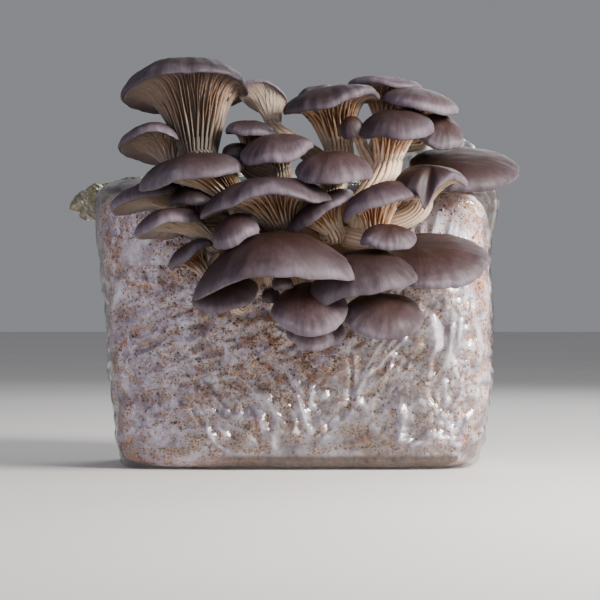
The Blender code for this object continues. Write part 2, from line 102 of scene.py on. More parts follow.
def lamp(name, place, aim, size, power, colour):
    """A square soft box that looks at a point."""
    light = bpy.data.lights.new(name, "AREA")
    light.size = size
    light.energy = power
    light.color = colour
    made = in_scene(name, light)
    made.location = place
    made.rotation_euler = (Vector(aim) - Vector(place)).to_track_quat("-Z", "Y").to_euler()


lamp("key", (0.66, -0.50, 0.46), (0.02, -0.06, 0.09), 0.28, 24.0, (1.0, 0.95, 0.90))
lamp("fill", (-0.9, -1.1, 0.35), (0.0, -0.05, 0.08), 0.9, 5.2, (0.84, 0.78, 1.0))
lamp("back", (0.35, 0.8, 0.75), (0.0, 0.0, 0.12), 0.6, 6.0, (0.95, 0.97, 1.0))

room = bpy.data.worlds.new("room")
room.use_nodes = True
background = room.node_tree.nodes["Background"]
background.inputs["Color"].default_value = ROOM_COLOUR
background.inputs["Strength"].default_value = ROOM_STRENGTH
bpy.context.scene.world = room


# %% [markdown]
# ## Materials: how they are put together
#
# Every surface starts from the Principled shader, and only the two films put other shaders in its place.
# Colours are written as the hex values of a paint chart and turned to linear light by one function, and
# another adds a node with its settings and links. A pattern's scale is the number of times it repeats in a
# metre, and the note beside it gives the size in millimetres.

# %% Colour and node helpers
def linear(hex_colour):
    """An sRGB hex colour as linear light."""
    parts = [int(hex_colour[place:place + 2], 16) / 255 for place in (1, 3, 5)]
    lit = [part / 12.92 if part <= 0.04045 else ((part + 0.055) / 1.055) ** 2.4 for part in parts]
    return (*lit, 1.0)


def add(tree, kind, sockets=None, out=0, stops=(), **settings):
    """Adds a node and gives back one output. Sockets take a number or an output; stops are for a ramp."""
    made = tree.nodes.new("ShaderNode" + kind)
    for name, value in settings.items():
        setattr(made, name, value)
    for name, value in (sockets or {}).items():
        if isinstance(value, bpy.types.NodeSocket):
            tree.links.new(value, made.inputs[name])
        else:
            made.inputs[name].default_value = value
    if stops:
        band = made.color_ramp
        while len(band.elements) < len(stops):
            band.elements.new(0.5)
        for element, (position, colour) in zip(band.elements, stops):
            element.position = position
            element.color = linear(colour)
    return made.outputs[out]


def surface(name, roughness):
    """A new material with its tree and its Principled shader."""
    made = bpy.data.materials.new(name)
    made.use_nodes = True
    shader = made.node_tree.nodes["Principled BSDF"]
    shader.inputs["Roughness"].default_value = roughness
    return made, made.node_tree, shader


print("middle grey as linear light:", round(linear("#808080")[0], 3))

# %% Floor
def to_mesh(name, bm):
    """Ends a bmesh, and gives back its mesh, shaded smooth."""
    mesh = bpy.data.meshes.new(name)
    bm.to_mesh(mesh)
    bm.free()
    mesh.shade_smooth()
    return mesh


floor_paint, tree, shader = surface("matt pale floor", 0.8)
place = add(tree, "TexCoord", out="Object")
cloud = add(tree, "TexNoise", {"Vector": place, "Scale": 3.0})
tint = add(tree, "ValToRGB", {"Fac": cloud}, stops=[(0.3, "#d9d6d2"), (0.7, "#e0ddd9")])
tree.links.new(tint, shader.inputs["Base Color"])

bm = bmesh.new()
bmesh.ops.create_grid(bm, x_segments=1, y_segments=1, size=6.0)
floor = in_scene("floor", to_mesh("floor", bm))
floor.location.z = -0.0002
floor.data.materials.append(floor_paint)
print("floor laid")

# %% [markdown]
# ## The mushrooms: sizes and places
#
# Each cap has its own row: where its middle is, how wide, long and high it is, how it is turned, and where
# its stem starts in the cluster. They are the same rows as in the solids, in millimetres, so each detailed
# piece sits where its solid is. A mushroom that grows from another one's stem names it in place of a root.

# %% Mushroom rows
USUAL = dict(
    seat=(0.0, 0.45),         # where the stem joins the cap, in half-widths and half-lengths from its middle
    funnel=12.0,              # how far the gills run down the stem
    lean=(0.0, 0.5),          # the way the funnel leans, sideways and back
    flare=2.6,                # how sharply the gills turn down
    neck=5.0,                 # radius of the stem under the gills
    foot=5.0,                 # radius of the stem at its root
    hollow=0.45,              # how far the underside follows the dome
    lip=1.6,                  # thickness of the rolled margin
    sag=0.0,                  # how far the two sides hang down
    wave=0.6,                 # height of the waves in the margin
    lobes=0.03,               # unevenness of the outline
    swells=(),                # places where the outline grows: angle, spread, share of the radius
    lifts=(),                 # places where the margin lifts: angle, spread, height
    spin=0.0,                 # turn about the cap's own axis
    grows_from=None,          # a mushroom whose stem this one branches off
    branch_at=0.6,            # how far down that stem
)


def mushroom(name, place, size, turn, root=None, **own):
    """One mushroom: the cap's centre, its half-width, half-length and height, and its yaw, pitch and roll."""
    return SimpleNamespace(name=name, place=place, size=size, turn=turn, root=root, **{**USUAL, **own})


MUSHROOMS = [
    mushroom("arched", (-13, -114, 106.4), (41.5, 24, 12), (-2, 20, -6.5), (-8, -74, 109),
             sag=15, neck=7, foot=7, funnel=14),
    mushroom("lower_middle", (31, -104, 98.5), (27.5, 20, 11), (0, 26, -10), (16, -72, 103),
             sag=6, neck=6, foot=6, lifts=((215, 28, -4.5),)),
    mushroom("middle_round", (17.7, -107, 148.6), (19, 17, 10.5), (4, 17, -2), (12, -71, 131),
             seat=(0, 0.55), lean=(0, 1)),
    mushroom("middle_long", (-17.2, -107, 136.4), (32.5, 22, 10.5), (-3, 0, -7.3), (-4, -72, 109),
             sag=5, seat=(0, 0.7), funnel=17, lean=(0.4, 0.4), flare=2.5, neck=7, foot=6.5),
    mushroom("right_middle", (40, -103, 135), (21, 18, 9), (3, 2, -18), (25, -71, 117),
             sag=3, funnel=16, neck=6, foot=6, lean=(-0.4, 0.5)),
    mushroom("left_round", (-31, -109, 119), (12, 13, 9), (-30, 30, -10), (-23, -74, 113), neck=4, foot=4),
    mushroom("slanted", (11, -96, 130), (18.5, 15, 7), (0, 6, -32), (14, -71, 119), neck=5.5, foot=5.5),
    mushroom("middle_upper", (-11, -99, 159), (18.6, 16.5, 9), (0, 17, -8), (-11, -72, 132),
             lifts=((-25, 35, 3),)),
    mushroom("bottom_left", (5.5, -103, 81.5), (19, 18, 9), (-3, 42, -1), (0, -70, 97)),
    mushroom("bottom_right", (42, -97, 78), (20, 18, 9), (8, 36, 3), (24, -69, 98)),
    mushroom("left_broad", (-54, -100, 146.5), (25.8, 22, 12), (-8, 6, -11), (-24, -74, 124),
             seat=(0.4, 0.4), funnel=18, neck=6.5, foot=6, lean=(0.5, 0.25)),
    mushroom("twin_large", (49, -96, 171), (18, 17, 9.5), (5, 16, -3), (30, -76, 127),
             funnel=18, neck=7.5, foot=7, lean=(-0.2, 0.3)),
    mushroom("twin_small", (26.5, -93, 171), (6.3, 7, 7), (-10, 32, -10), neck=3, foot=3,
             grows_from="twin_large", branch_at=0.5),
    mushroom("upper_fan", (16.5, -89, 184), (24, 20, 9), (0, 4, -9), (15, -70, 134),
             funnel=22, neck=7.5, foot=7, lifts=((-50, 30, 2.5),)),
    mushroom("wavy", (65, -99, 145), (18.5, 16, 8), (10, 12, 2), (36, -70, 119),
             wave=1, lifts=((-105, 17, -10), (-50, 28, 4), (180, 40, -4))),
    mushroom("right_button", (44, -103, 116), (14, 10, 7), (5, 25, 0), (37, -71, 112), neck=3.5, foot=3.5,
             funnel=4, lean=(0, 0.6)),
    mushroom("top_left", (-57.5, -76, 191.5), (31.5, 29, 14.5), (0, -17, -4.5), (-32, -68, 134),
             seat=(0.26, 0.15), funnel=34, neck=9, foot=8.5, flare=2.3, lean=(-0.1, 0.1), sag=1),
    mushroom("left_cup", (-73, -74, 164), (17.3, 17, 10), (-12, -24, -8), seat=(0.5, 0.2), funnel=10,
             grows_from="top_left", branch_at=0.45),
    mushroom("left_shaded", (-53, -91, 136), (11.5, 12, 7), (-10, 8, 0), neck=4, foot=4, funnel=8,
             grows_from="left_upper", branch_at=0.5),
    mushroom("left_lower", (-64.5, -96, 122.5), (16, 17.5, 9), (-65, 10, -15), (-34, -71, 116),
             seat=(0, 0.6), funnel=9, lean=(0, 1)),
    mushroom("left_slim", (-54, -92, 109), (12.5, 9, 6), (-10, 5, -30), neck=3.5, foot=4,
             grows_from="left_lower", branch_at=0.7),
    mushroom("left_upper", (-75, -81, 136), (17, 20, 9), (-70, 9, -14), (-36, -68, 124),
             seat=(0, 0.6), funnel=9, lean=(0, 1)),
    mushroom("under_arch", (-36.5, -98, 89), (17.5, 16, 7), (-10, 28, -8), (-20, -70, 101), neck=4.5),
    mushroom("right_high", (61, -84, 184), (19.7, 18, 8), (15, 12, 8), neck=5, foot=5,
             grows_from="top_right", branch_at=0.5),
    mushroom("right_folded", (70, -79, 170.5), (13, 14, 7), (25, 38, 0), neck=4, foot=4,
             grows_from="right_high", branch_at=0.6),
    mushroom("far_right", (84, -67, 152.5), (28.5, 21, 8), (12, 30, 0), (38, -69, 126),
             seat=(-0.7, -0.2), neck=6, foot=6, funnel=10, lean=(-0.9, -0.1)),
    mushroom("lower_right", (66, -88, 105.5), (28, 24, 9), (6, 33, -4), (32, -70, 102),
             seat=(-0.3, 0.15), lean=(-0.5, 0.3), neck=5.5, foot=5.5,
             swells=((5, 22, 0.05), (180, 45, -0.2))),
    mushroom("bottom_tip", (8.5, -92, 70.5), (14.4, 13, 7), (0, 38, 0), neck=4, foot=4,
             grows_from="bottom_left", branch_at=0.6),
    mushroom("bud_upper", (-8, -102, 94.5), (5.5, 5, 4), (0, 20, 0), neck=2, foot=2.5, funnel=4,
             lean=(0.3, 1), grows_from="bottom_left", branch_at=0.75),
    mushroom("bud_lower", (-14, -96, 88), (4.5, 5, 4), (-10, 30, 0), neck=2, foot=2.5, funnel=4,
             grows_from="bottom_left", branch_at=0.75),
    mushroom("top_right", (44, -68, 194), (19.5, 18, 5), (5, -4, 5), (36, -66, 135),
             seat=(0, 0.1), lean=(0, 0), funnel=16, flare=2, foot=6.5),
    mushroom("back_small", (-24, -84, 170), (12.8, 11, 6), (-5, 2, 7), neck=3.5, foot=3.5,
             grows_from="middle_upper", branch_at=0.3),
    mushroom("back_bud", (-31, -80, 160), (8, 9, 5), (-20, 14, 0), neck=3, foot=3, funnel=7,
             grows_from="middle_upper", branch_at=0.5),
    mushroom("curled", (-18.5, -68, 189.5), (13, 8.5, 2.5), (0, -62, 0), spin=19, seat=(0.55, 0.5),
             neck=4, foot=5.5, funnel=10, lean=(0.2, 0.5), grows_from="upper_fan", branch_at=0.6),
    mushroom("back_curl", (9, -59, 192), (9, 8, 3), (0, -10, -10), seat=(0, 0.1), lean=(0, 0),
             neck=3, foot=4, grows_from="upper_fan", branch_at=0.5),
]
INDEX = {one.name: number for number, one in enumerate(MUSHROOMS)}
BY_NAME = {one.name: one for one in MUSHROOMS}
print("mushrooms:", len(MUSHROOMS))


# %% [markdown]
# ## The form of a cap
#
# An oyster cap is a low shell whose stem joins it off centre. Its outline is an ellipse with slow lobes, its
# top is a dome that turns down sharply at the margin, and its underside runs down into a funnel along the
# stem. These functions give any point of it, from an angle round the seat of the stem and a share of the way
# out to the margin, for a whole mesh at once.

# %% Outline, dome and underside
DOME_SQUARENESS = 2.2
DOME_POWER = 0.6
FRILL = 0.007                 # height of the fine waves in the outline, as a share of the radius
# Lifts too fine for the solids
FINE_LIFTS = {
    "wavy": ((-105, 18, 6), (-107, 10, -9), (-66, 16, 3)),
    "upper_fan": ((-35, 14, 2),),
    "middle_long": ((-38, 16, -2.0), (-75, 20, 1.5), (-120, 14, -1.0)),
    "arched": ((-60, 14, -1.0), (-110, 12, 0.8)),
    "lower_middle": ((-115, 14, 1.2), (-80, 10, -1.0)),
    "left_broad": ((-100, 16, 0.8),),
}
# Swellings of the outline of the same kind, as a share of the radius
FINE_SWELLS = {
    "lower_middle": ((196, 24, 0.10), (236, 12, -0.05)),
}


def falloff(angle, where, width):
    """1 at an angle round the cap and 0 away from it; degrees."""
    apart = np.angle(np.exp(1j * (angle - math.radians(where))))
    return np.exp(-(apart / math.radians(width)) ** 2)


def margin_swell(one, angle):
    """How far the outline stands out from an ellipse, as a share of the radius."""
    chance = np.random.default_rng(1000 + INDEX[one.name])
    swell = np.ones_like(angle)
    for count in (2, 3, 4, 5):
        size = one.lobes * chance.uniform(-1, 1) * 1.4 / math.sqrt(count)
        swell = swell + size * np.cos(count * angle + chance.uniform(0, math.tau))
    for where, width, amount in one.swells + FINE_SWELLS.get(one.name, ()):
        swell = swell + amount * falloff(angle, where, width)
    for count in (9, 14, 22):
        swell = swell + FRILL * chance.uniform(0.3, 1) * np.cos(count * angle + chance.uniform(0, math.tau))
    return swell


def margin_points(one, angle):
    """The outline of the cap at some angles."""
    swell = margin_swell(one, angle)
    return np.stack([one.size[0] * np.cos(angle) * swell, one.size[1] * np.sin(angle) * swell], axis=-1)


def seat_point(one):
    """Where the stem joins the cap."""
    return np.array([one.seat[0] * one.size[0], one.seat[1] * one.size[1]])


def reach(one, flat):
    """How near the margin a point of the plane is, from 0 in the middle to 1, and its angle."""
    u = flat[..., 0] / one.size[0]
    v = flat[..., 1] / one.size[1]
    angle = np.arctan2(v, u)
    return np.clip(np.hypot(u, v) / margin_swell(one, angle), 0, 1), angle


def bend(one, flat, near, angle):
    """How far the cap is bent up or down by its sagging sides, lifts and waves."""
    u = flat[..., 0] / one.size[0]
    height = -one.sag * u * u
    for where, width, amount in one.lifts + FINE_LIFTS.get(one.name, ()):
        height = height + amount * near ** 2.5 * falloff(angle, where, width)
    phase = 1.7 * (INDEX[one.name] + 1)
    ripple = np.sin(3 * angle + phase) + 0.6 * np.sin(5 * angle + 2.1 * phase + 1)
    return height + one.wave * near ** 3 * ripple


def dome(one, near):
    """Height of the cap's top above its margin."""
    return one.size[2] * (1 - near ** DOME_SQUARENESS) ** DOME_POWER


def top_points(one, share, angle):
    """Points on the top, at a share of the way from the seat to the margin."""
    seat = seat_point(one)
    flat = seat + (margin_points(one, angle) - seat) * share[..., None]
    near, around = reach(one, flat)
    height = dome(one, near) + bend(one, flat, near, around)
    return np.concatenate([flat, height[..., None]], axis=-1)


def seat_height(one):
    """How far the bend moves the seat."""
    seat = seat_point(one)[None]
    near, around = reach(one, seat)
    return bend(one, seat, near, around)[0]


def under_points(one, share, angle):
    """Points on the underside, from the neck at 0 to the margin at 1."""
    seat = seat_point(one)
    out = margin_points(one, angle) - seat
    length = np.linalg.norm(out, axis=-1)
    radius = one.neck + (length - one.neck) * share
    flat = seat + out * (radius / length)[..., None]
    near, around = reach(one, flat)
    down = (1 - share) ** one.flare
    below_dome = one.hollow * dome(one, near) - one.lip + bend(one, flat, near, around)
    height = (1 - down) * below_dome + down * (seat_height(one) - one.funnel)
    flat = flat + down[..., None] * np.array(one.lean) * one.funnel
    return np.concatenate([flat, height[..., None]], axis=-1)


def neck_point(one):
    """The middle of the neck, in the cap's own frame."""
    x, y = seat_point(one) + np.array(one.lean) * one.funnel
    return Vector((x, y, seat_height(one) - one.funnel))


def cap_matrix(one):
    """Places the cap: spin, roll, pitch and yaw, then its place."""
    yaw, pitch, roll = (math.radians(value) for value in one.turn)
    turn = Matrix.Rotation(yaw, 4, "Z") @ Matrix.Rotation(pitch, 4, "X") @ Matrix.Rotation(roll, 4, "Y")
    turn = turn @ Matrix.Rotation(math.radians(one.spin), 4, "Z")
    return Matrix.Translation(Vector(one.place) * MM) @ turn


print("widest cap:", 2 * max(one.size[0] for one in MUSHROOMS), "mm")


# %% [markdown]
# ## One turned body for everything
#
# Caps, stems, the block and the film all go round an axis, as a bowl on a lathe does. A grid is rolled into
# a closed body with one ring for each row, and its seam and its two ends are merged. Each point then knows
# its row and its side, and a function moves it to its place. That keeps the mesh regular and closed.

# %% Turning and reshaping
def smooth_step(value):
    """0 below 0, 1 above 1, and smooth between."""
    value = np.clip(value, 0, 1)
    return value * value * (3 - 2 * value)


def turned_body(name, row_count, sides):
    """Rolls a grid into a closed body, and returns the mesh with the row and the side of every point."""
    bm = bmesh.new()
    bmesh.ops.create_grid(bm, x_segments=sides, y_segments=row_count - 1, size=1.0)
    for vert in bm.verts:
        angle = (vert.co.x + 1) * math.pi
        row = round((1 - vert.co.y) / 2 * (row_count - 1))
        radius = 0.0 if row in (0, row_count - 1) else 1.0
        vert.co = (math.cos(angle) * radius, math.sin(angle) * radius, -row)
    bmesh.ops.remove_doubles(bm, verts=bm.verts, dist=0.0001)
    bmesh.ops.recalc_face_normals(bm, faces=bm.faces)
    mesh = to_mesh(name, bm)
    unit = read_points(mesh)
    row = np.rint(-unit[:, 2]).astype(int)
    side = np.rint(np.arctan2(unit[:, 1], unit[:, 0]) / math.tau * sides).astype(int) % sides
    return mesh, row, side


def read_points(mesh):
    """The places of a mesh's points."""
    flat = np.empty(len(mesh.vertices) * 3, np.float32)
    mesh.vertices.foreach_get("co", flat)
    return flat.reshape(-1, 3).astype(float)


def write_points(mesh, points):
    """Moves a mesh's points."""
    mesh.vertices.foreach_set("co", np.ascontiguousarray(points, np.float32).ravel())
    mesh.update()


def note(mesh, name, values):
    """Stores a number, or three, for each point, for a material to read."""
    kind = "FLOAT_VECTOR" if np.ndim(values) == 2 else "FLOAT"
    layer = mesh.attributes.new(name, kind, "POINT")
    field = "vector" if kind == "FLOAT_VECTOR" else "value"
    layer.data.foreach_set(field, np.ascontiguousarray(values, np.float32).ravel())


def face_rows(mesh, row):
    """The first row that each face touches."""
    starts = np.empty(len(mesh.polygons), int)
    mesh.polygons.foreach_get("loop_start", starts)
    corners = np.empty(len(mesh.loops), int)
    mesh.loops.foreach_get("vertex_index", corners)
    return np.minimum.reduceat(row[corners], starts)


def add_piece(name, mesh, slot, replaced, *materials):
    piece = in_scene(name, mesh)
    for material in materials:
        mesh.materials.append(material)
    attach(piece, "root")
    if replaced:
        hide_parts(*replaced)
    return piece


def noise_at(points, scale, seed):
    """Smooth noise at each point."""
    offset = Vector((seed * 17.3, seed * 5.1, seed * 9.7))
    return np.array([noise.noise(Vector(point) * scale + offset) for point in points])


def placed(points, matrix):
    turn = np.array(matrix.to_3x3())
    return points * MM @ turn.T + np.array(matrix.translation)


# %% [markdown]
# ## Mushroom skin
#
# The skin of an oyster cap is smooth and a little waxy. It is brown over the seat of the stem, lilac-grey
# further out and pale and bluish at the margin, with fine darker fibres that run out from the stem. The
# fibres come from a noise that is short round the cap and long outwards. Flesh is soft, so some light goes
# under the surface.

# %% Skin material
MOTTLE_SCALE = 130.0          # blotches of 8 mm
SKIN_PATCH_SCALE = 28.0       # slow changes of colour over 36 mm
LIGHT_REACH = 0.002           # how far light goes under the surface of flesh, m


def darkened(tree, tint, shade):
    """A colour times a number."""
    grey = add(tree, "CombineColor", {"Red": shade, "Green": shade, "Blue": shade})
    return add(tree, "Mix", {0: 1.0, 6: tint, 7: grey}, out=2, data_type="RGBA",
               blend_type="MULTIPLY")


def soften(shader, weight, colours):
    """Lets some light go under the surface, red the furthest."""
    shader.inputs["Subsurface Weight"].default_value = weight
    shader.inputs["Subsurface Radius"].default_value = colours
    shader.inputs["Subsurface Scale"].default_value = LIGHT_REACH


# Map Range takes a value, the low and high end of its range, and the low and high end of the new range.
skin, tree, shader = surface("waxy mushroom skin", 0.5)
place = add(tree, "TexCoord", out="Object")
way_out, tone_and_shade = (add(tree, "Attribute", out="Fac", attribute_name=name) for name in ("out", "tone_and_shade"))
fibre_place = add(tree, "Attribute", out="Vector", attribute_name="fibres")
fibres = add(tree, "TexNoise", {"Vector": fibre_place, "Scale": 1.0, "Detail": 4.0})
mottle = add(tree, "TexNoise", {"Vector": place, "Scale": MOTTLE_SCALE, "Detail": 4.0})
patch = add(tree, "TexNoise", {"Vector": place, "Scale": SKIN_PATCH_SCALE, "Detail": 2.0})
inner = add(tree, "Math", {0: way_out, 1: -0.20}, operation="ADD")
shifted = add(tree, "Math", {0: patch, 1: 0.40, 2: inner}, operation="MULTIPLY_ADD")
tint = add(tree, "ValToRGB", {"Fac": shifted}, stops=[
    (0.0, "#22120d"), (0.22, "#2b1a15"), (0.5, "#342322"), (0.8, "#3d2f32"), (0.94, "#4b4046"),
    (1.0, "#645a63"),
])
fibre_dark = add(tree, "MapRange", {0: fibres, 1: 0.36, 2: 0.64, 3: 0.80, 4: 1.14})
mottle_dark = add(tree, "MapRange", {0: mottle, 1: 0.33, 2: 0.67, 3: 0.84, 4: 1.14})
shade = add(tree, "Math", {0: fibre_dark, 1: mottle_dark}, operation="MULTIPLY")
# Each cap's tone is partly its own colour and partly painted shade and painted light.
shade = add(tree, "Math", {0: shade, 1: tone_and_shade}, operation="MULTIPLY")
tree.links.new(darkened(tree, tint, shade), shader.inputs["Base Color"])
waxy = add(tree, "MapRange", {0: mottle, 1: 0.3, 2: 0.7, 3: 0.48, 4: 0.64})
tree.links.new(waxy, shader.inputs["Roughness"])
shader.inputs["Specular IOR Level"].default_value = 0.25
soften(shader, 0.10, (1.0, 0.55, 0.35))
relief = add(tree, "Bump", {"Height": fibres, "Strength": 0.20, "Distance": 0.0004})
relief = add(tree, "Bump", {
    "Height": mottle, "Strength": 0.30, "Distance": 0.0005, "Normal": relief})
tree.links.new(relief, shader.inputs["Normal"])
print("made", skin.name)

# %% [markdown]
# ## Gills and stem flesh
#
# Gills and stem are one pale cream flesh. Light that falls between two gills bounces from wall to wall and
# turns warm, so the colour goes from cream on a gill's edge to orange-brown deep between two of them. The
# depth is stored on the mesh when the gills are made.

# %% Flesh material
FLESH_PATCH_SCALE = 45.0      # slow changes of colour over 22 mm

flesh, tree, shader = surface("cream mushroom flesh", 0.6)
place = add(tree, "TexCoord", out="Object")
depth, way_out, tone_and_shade = (
    add(tree, "Attribute", out="Fac", attribute_name=name) for name in ("depth", "out", "flesh_tone_and_shade"))
fibre_place = add(tree, "Attribute", out="Vector", attribute_name="fibres")
fibres = add(tree, "TexNoise", {"Vector": fibre_place, "Scale": 1.6, "Detail": 3.0})
patch = add(tree, "TexNoise", {"Vector": place, "Scale": FLESH_PATCH_SCALE, "Detail": 2.0})
shallower = add(tree, "Math", {0: depth, 1: -0.25}, operation="ADD")
shifted = add(tree, "Math", {0: patch, 1: 0.5, 2: shallower}, operation="MULTIPLY_ADD")
tint = add(tree, "ValToRGB", {"Fac": shifted}, stops=[
    (0.0, "#dccab6"), (0.3, "#cfab88"), (0.65, "#a06d44"), (1.0, "#5a3119"),
])
greyed = add(tree, "MapRange", {0: way_out, 1: 0.3, 2: 0.9, 3: 0.0, 4: 0.8})
tint = add(tree, "Mix", {0: greyed, 6: tint, 7: linear("#7f6f74")}, out=2, data_type="RGBA")
fibre_dark = add(tree, "MapRange", {0: fibres, 1: 0.35, 2: 0.65, 3: 0.82, 4: 1.06})
# The flesh tone of each cap is partly its own colour and partly painted shade and painted light.
shade = add(tree, "Math", {0: fibre_dark, 1: tone_and_shade}, operation="MULTIPLY")
tree.links.new(darkened(tree, tint, shade), shader.inputs["Base Color"])
soften(shader, 0.18, (1.0, 0.6, 0.35))
relief = add(tree, "Bump", {"Height": fibres, "Strength": 0.3, "Distance": 0.0005})
tree.links.new(relief, shader.inputs["Normal"])
print("made", flesh.name)

# %% [markdown]
# ## Caps with gills
#
# Gills are thin plates that run from the stem to the margin. Near the stem there is room for few, so shorter
# ones start further out: of every four, one runs the whole way, one starts a little way out and two start
# nearer the margin. The mesh has four rings of points for each gill. The point on the edge of the plate stays
# where the solid's underside is, and the ones between two plates sink into the flesh.

# %% Gill sizes
GILL_SPACING = 1.7            # at the margin, mm
GILL_DEPTH = 2.1              # at most, mm
POINTS_PER_GILL = 4
GROUP = 4 * POINTS_PER_GILL   # one whole gill and the three shorter ones beside it
WANDER = 1.3                  # how far a gill strays, in gills
MIDDLE_START = 0.12           # where the gill half-way between two whole ones starts
SHORT_START = 0.36            # where the shortest ones start
START_SPREAD = 0.06           # how unevenly they start
RISE_OVER = 0.1               # the length over which they rise
BROAD_WITHIN = 0.36           # the share of the way out within which whole gills broaden into ribs
TOP_ROWS = (0, 0.14, 0.27, 0.39, 0.5, 0.6, 0.69, 0.77, 0.84, 0.9, 0.945, 0.975, 0.992, 1.0)
EDGE_ROWS = (0.2, 0.4, 0.6, 0.8)
ROLLED_IN = 0.94              # share of the way out where the rounding of the margin ends
ROLL = 1.3                    # how much thicker the rolled margin is than in the solid, mm
UNDER_ROWS = (ROLLED_IN, 0.91, 0.87, 0.81, 0.74, 0.66, 0.58, 0.5, 0.42, 0.35, 0.28, 0.22, 0.16, 0.11, 0.06,
              0.025, 0.0)
# Caps whose gills are shallower, as a share
SMOOTHER = {"curled": 0.35, "left_cup": 0.55, "left_upper": 0.5, "left_lower": 0.5}


def gill_count(one):
    """How many gills fit round the margin, in whole groups."""
    round_margin = math.tau * (one.size[0] + one.size[1]) / 2
    return max(3, round(round_margin / GILL_SPACING / 4)) * 4


def even_angles(one, sides):
    """The angle of each side, so that the gills stand evenly along the margin."""
    fine = np.linspace(0, math.tau, 721)
    steps = np.linalg.norm(np.diff(margin_points(one, fine), axis=0), axis=1)
    even = np.concatenate([[0.0], np.cumsum(steps)])
    even = 0.6 * even / even[-1] + 0.4 * fine / math.tau
    return np.interp(np.arange(sides) / sides, even, fine)


def wander(one, side, share):
    """How far a gill strays sideways, in radians, so that no two run quite alike."""
    count = gill_count(one)
    turn = side / POINTS_PER_GILL / count * math.tau
    round_cap = count / 9
    pattern = np.stack([np.cos(turn) * round_cap, np.sin(turn) * round_cap, share * 3.5], axis=-1)
    return noise_at(pattern, 1.0, INDEX[one.name] + 3) * WANDER * math.tau / count


def gill_depth(one, share, angle):
    """How deep the space between two gills is: less near the margin, and least out on the wings."""
    full = min(GILL_DEPTH, 0.6 + 0.10 * one.size[2] + 0.015 * one.size[0])
    at_margin = smooth_step((1 - share) / 0.16)
    at_neck = 0.55 + 0.45 * smooth_step(share / 0.3)
    full *= SMOOTHER.get(one.name, 1.0)
    wing = 1 - falloff(angle, -75, 55)
    return full * at_margin * at_neck * (1 - 0.8 * wing * smooth_step((share - 0.3) / 0.4))


def gill_height(one, side, share):
    """How far a point stands up from the bottom of the space to the edge of the plate, from 0 to 1."""
    chance = np.random.default_rng(5000 + INDEX[one.name])
    group = side // GROUP
    early = chance.uniform(-START_SPREAD, START_SPREAD, group.max() + 1)[group]
    from_whole = np.abs((side + GROUP // 2) % GROUP - GROUP // 2)
    from_middle = np.abs(side % GROUP - GROUP // 2)
    from_short = np.abs(side % (GROUP // 2) - GROUP // 4)
    broad = smooth_step((BROAD_WITHIN - share) / BROAD_WITHIN)
    whole = smooth_step((1 + 0.8 * broad) * (1 - from_whole / (1.0 + 7.0 * broad)))
    middle = np.clip(1 - from_middle, 0, 1) * smooth_step((share - MIDDLE_START - early) / RISE_OVER)
    short = np.clip(1 - from_short, 0, 1) * smooth_step((share - SHORT_START - early) / RISE_OVER)
    strength = chance.uniform(0.55, 1.0, len(np.unique(side)) // POINTS_PER_GILL + 1)
    nearest = ((side + POINTS_PER_GILL // 2) // POINTS_PER_GILL) % (len(strength) - 1)
    return np.maximum(whole, np.maximum(middle, short) * strength[nearest])


print("gills under the widest cap:", max(gill_count(one) for one in MUSHROOMS))


# %% Cap
# Real fibres are about 0.2 mm wide, which is too fine to show, so they are drawn coarser.
FIBRE_WIDTH = 1.3             # mm
FIBRE_LENGTH = 9.0            # mm
# How light the skin of each cap is, where it differs from 1: partly its own tone, partly painted shade and
# light
SKIN_TONE_AND_SHADE = {
    "arched": 0.90, "lower_middle": 0.75, "bottom_left": 1.2, "left_broad": 0.85, "top_left": 0.42,
    "middle_round": 1.2, "far_right": 0.80, "twin_large": 0.78, "upper_fan": 0.65, "middle_long": 0.80,
    "left_upper": 1.15, "left_lower": 1.15, "left_cup": 0.8, "left_shaded": 0.65, "left_slim": 0.95,
    "slanted": 0.90, "wavy": 0.90, "right_button": 1.1, "bud_upper": 0.9, "bud_lower": 0.9,
    "back_small": 0.85, "back_bud": 0.6, "bottom_tip": 1.2,
}
# The same for the flesh of its gills and stem, partly its own tone and partly painted shade and light
USUAL_FLESH = 0.8
FLESH_TONE_AND_SHADE = {
    "top_left": 0.45, "left_cup": 0.55, "left_upper": 0.55, "left_lower": 0.48, "left_slim": 0.60,
    "left_broad": 0.70, "middle_upper": 0.60, "back_small": 0.50, "back_bud": 0.45, "left_shaded": 0.5,
    "middle_long": 0.6, "upper_fan": 0.78, "curled": 0.48, "back_curl": 0.5, "slanted": 0.95,
    "twin_large": 1.3, "right_middle": 1.3, "wavy": 1.0, "under_arch": 0.6, "left_round": 0.6,
    "arched": 0.7, "top_right": 1.05,
}
# The flesh at the neck and in the stem, where it is darker than at the margin, partly as painted shade
NECK_TONE_AND_SHADE = {"top_left": 0.13, "left_cup": 0.35, "middle_long": 0.5}
# How far the brown of the seat spreads over the top; on the arched cap it is painted shade from the caps
# above
SEAT_BROWN_AND_SHADE = {
    "wavy": 0.35, "far_right": 0.22, "lower_right": 0.18, "curled": 0.25, "right_folded": 0.15,
    "right_high": 0.1, "lower_middle": 0.1, "arched": 0.15, "upper_fan": 0.1, "twin_small": 0.1,
    "left_shaded": 0.2,
}


def flesh_tones_and_shade(one):
    """How light the flesh is at the neck and at the margin."""
    margin = FLESH_TONE_AND_SHADE.get(one.name, USUAL_FLESH)
    return NECK_TONE_AND_SHADE.get(one.name, margin), margin


def fibre_pattern(one, angle, share):
    """Where a point is in the pattern of fibres."""
    radius = (one.size[0] + one.size[1]) / 2
    around = radius * (0.4 + 0.6 * share) / FIBRE_WIDTH
    far = share * radius / FIBRE_LENGTH
    return np.stack([np.cos(angle) * around, np.sin(angle) * around, far], axis=-1) + 7.3 * INDEX[one.name]


def rolled_under(one, share, angle):
    """The underside, a little fuller at the margin than in the solid."""
    points = under_points(one, share, angle)
    points[:, 2] -= ROLL * min(1, one.size[2] / 9) * smooth_step((share - 0.45) / 0.5)
    return points


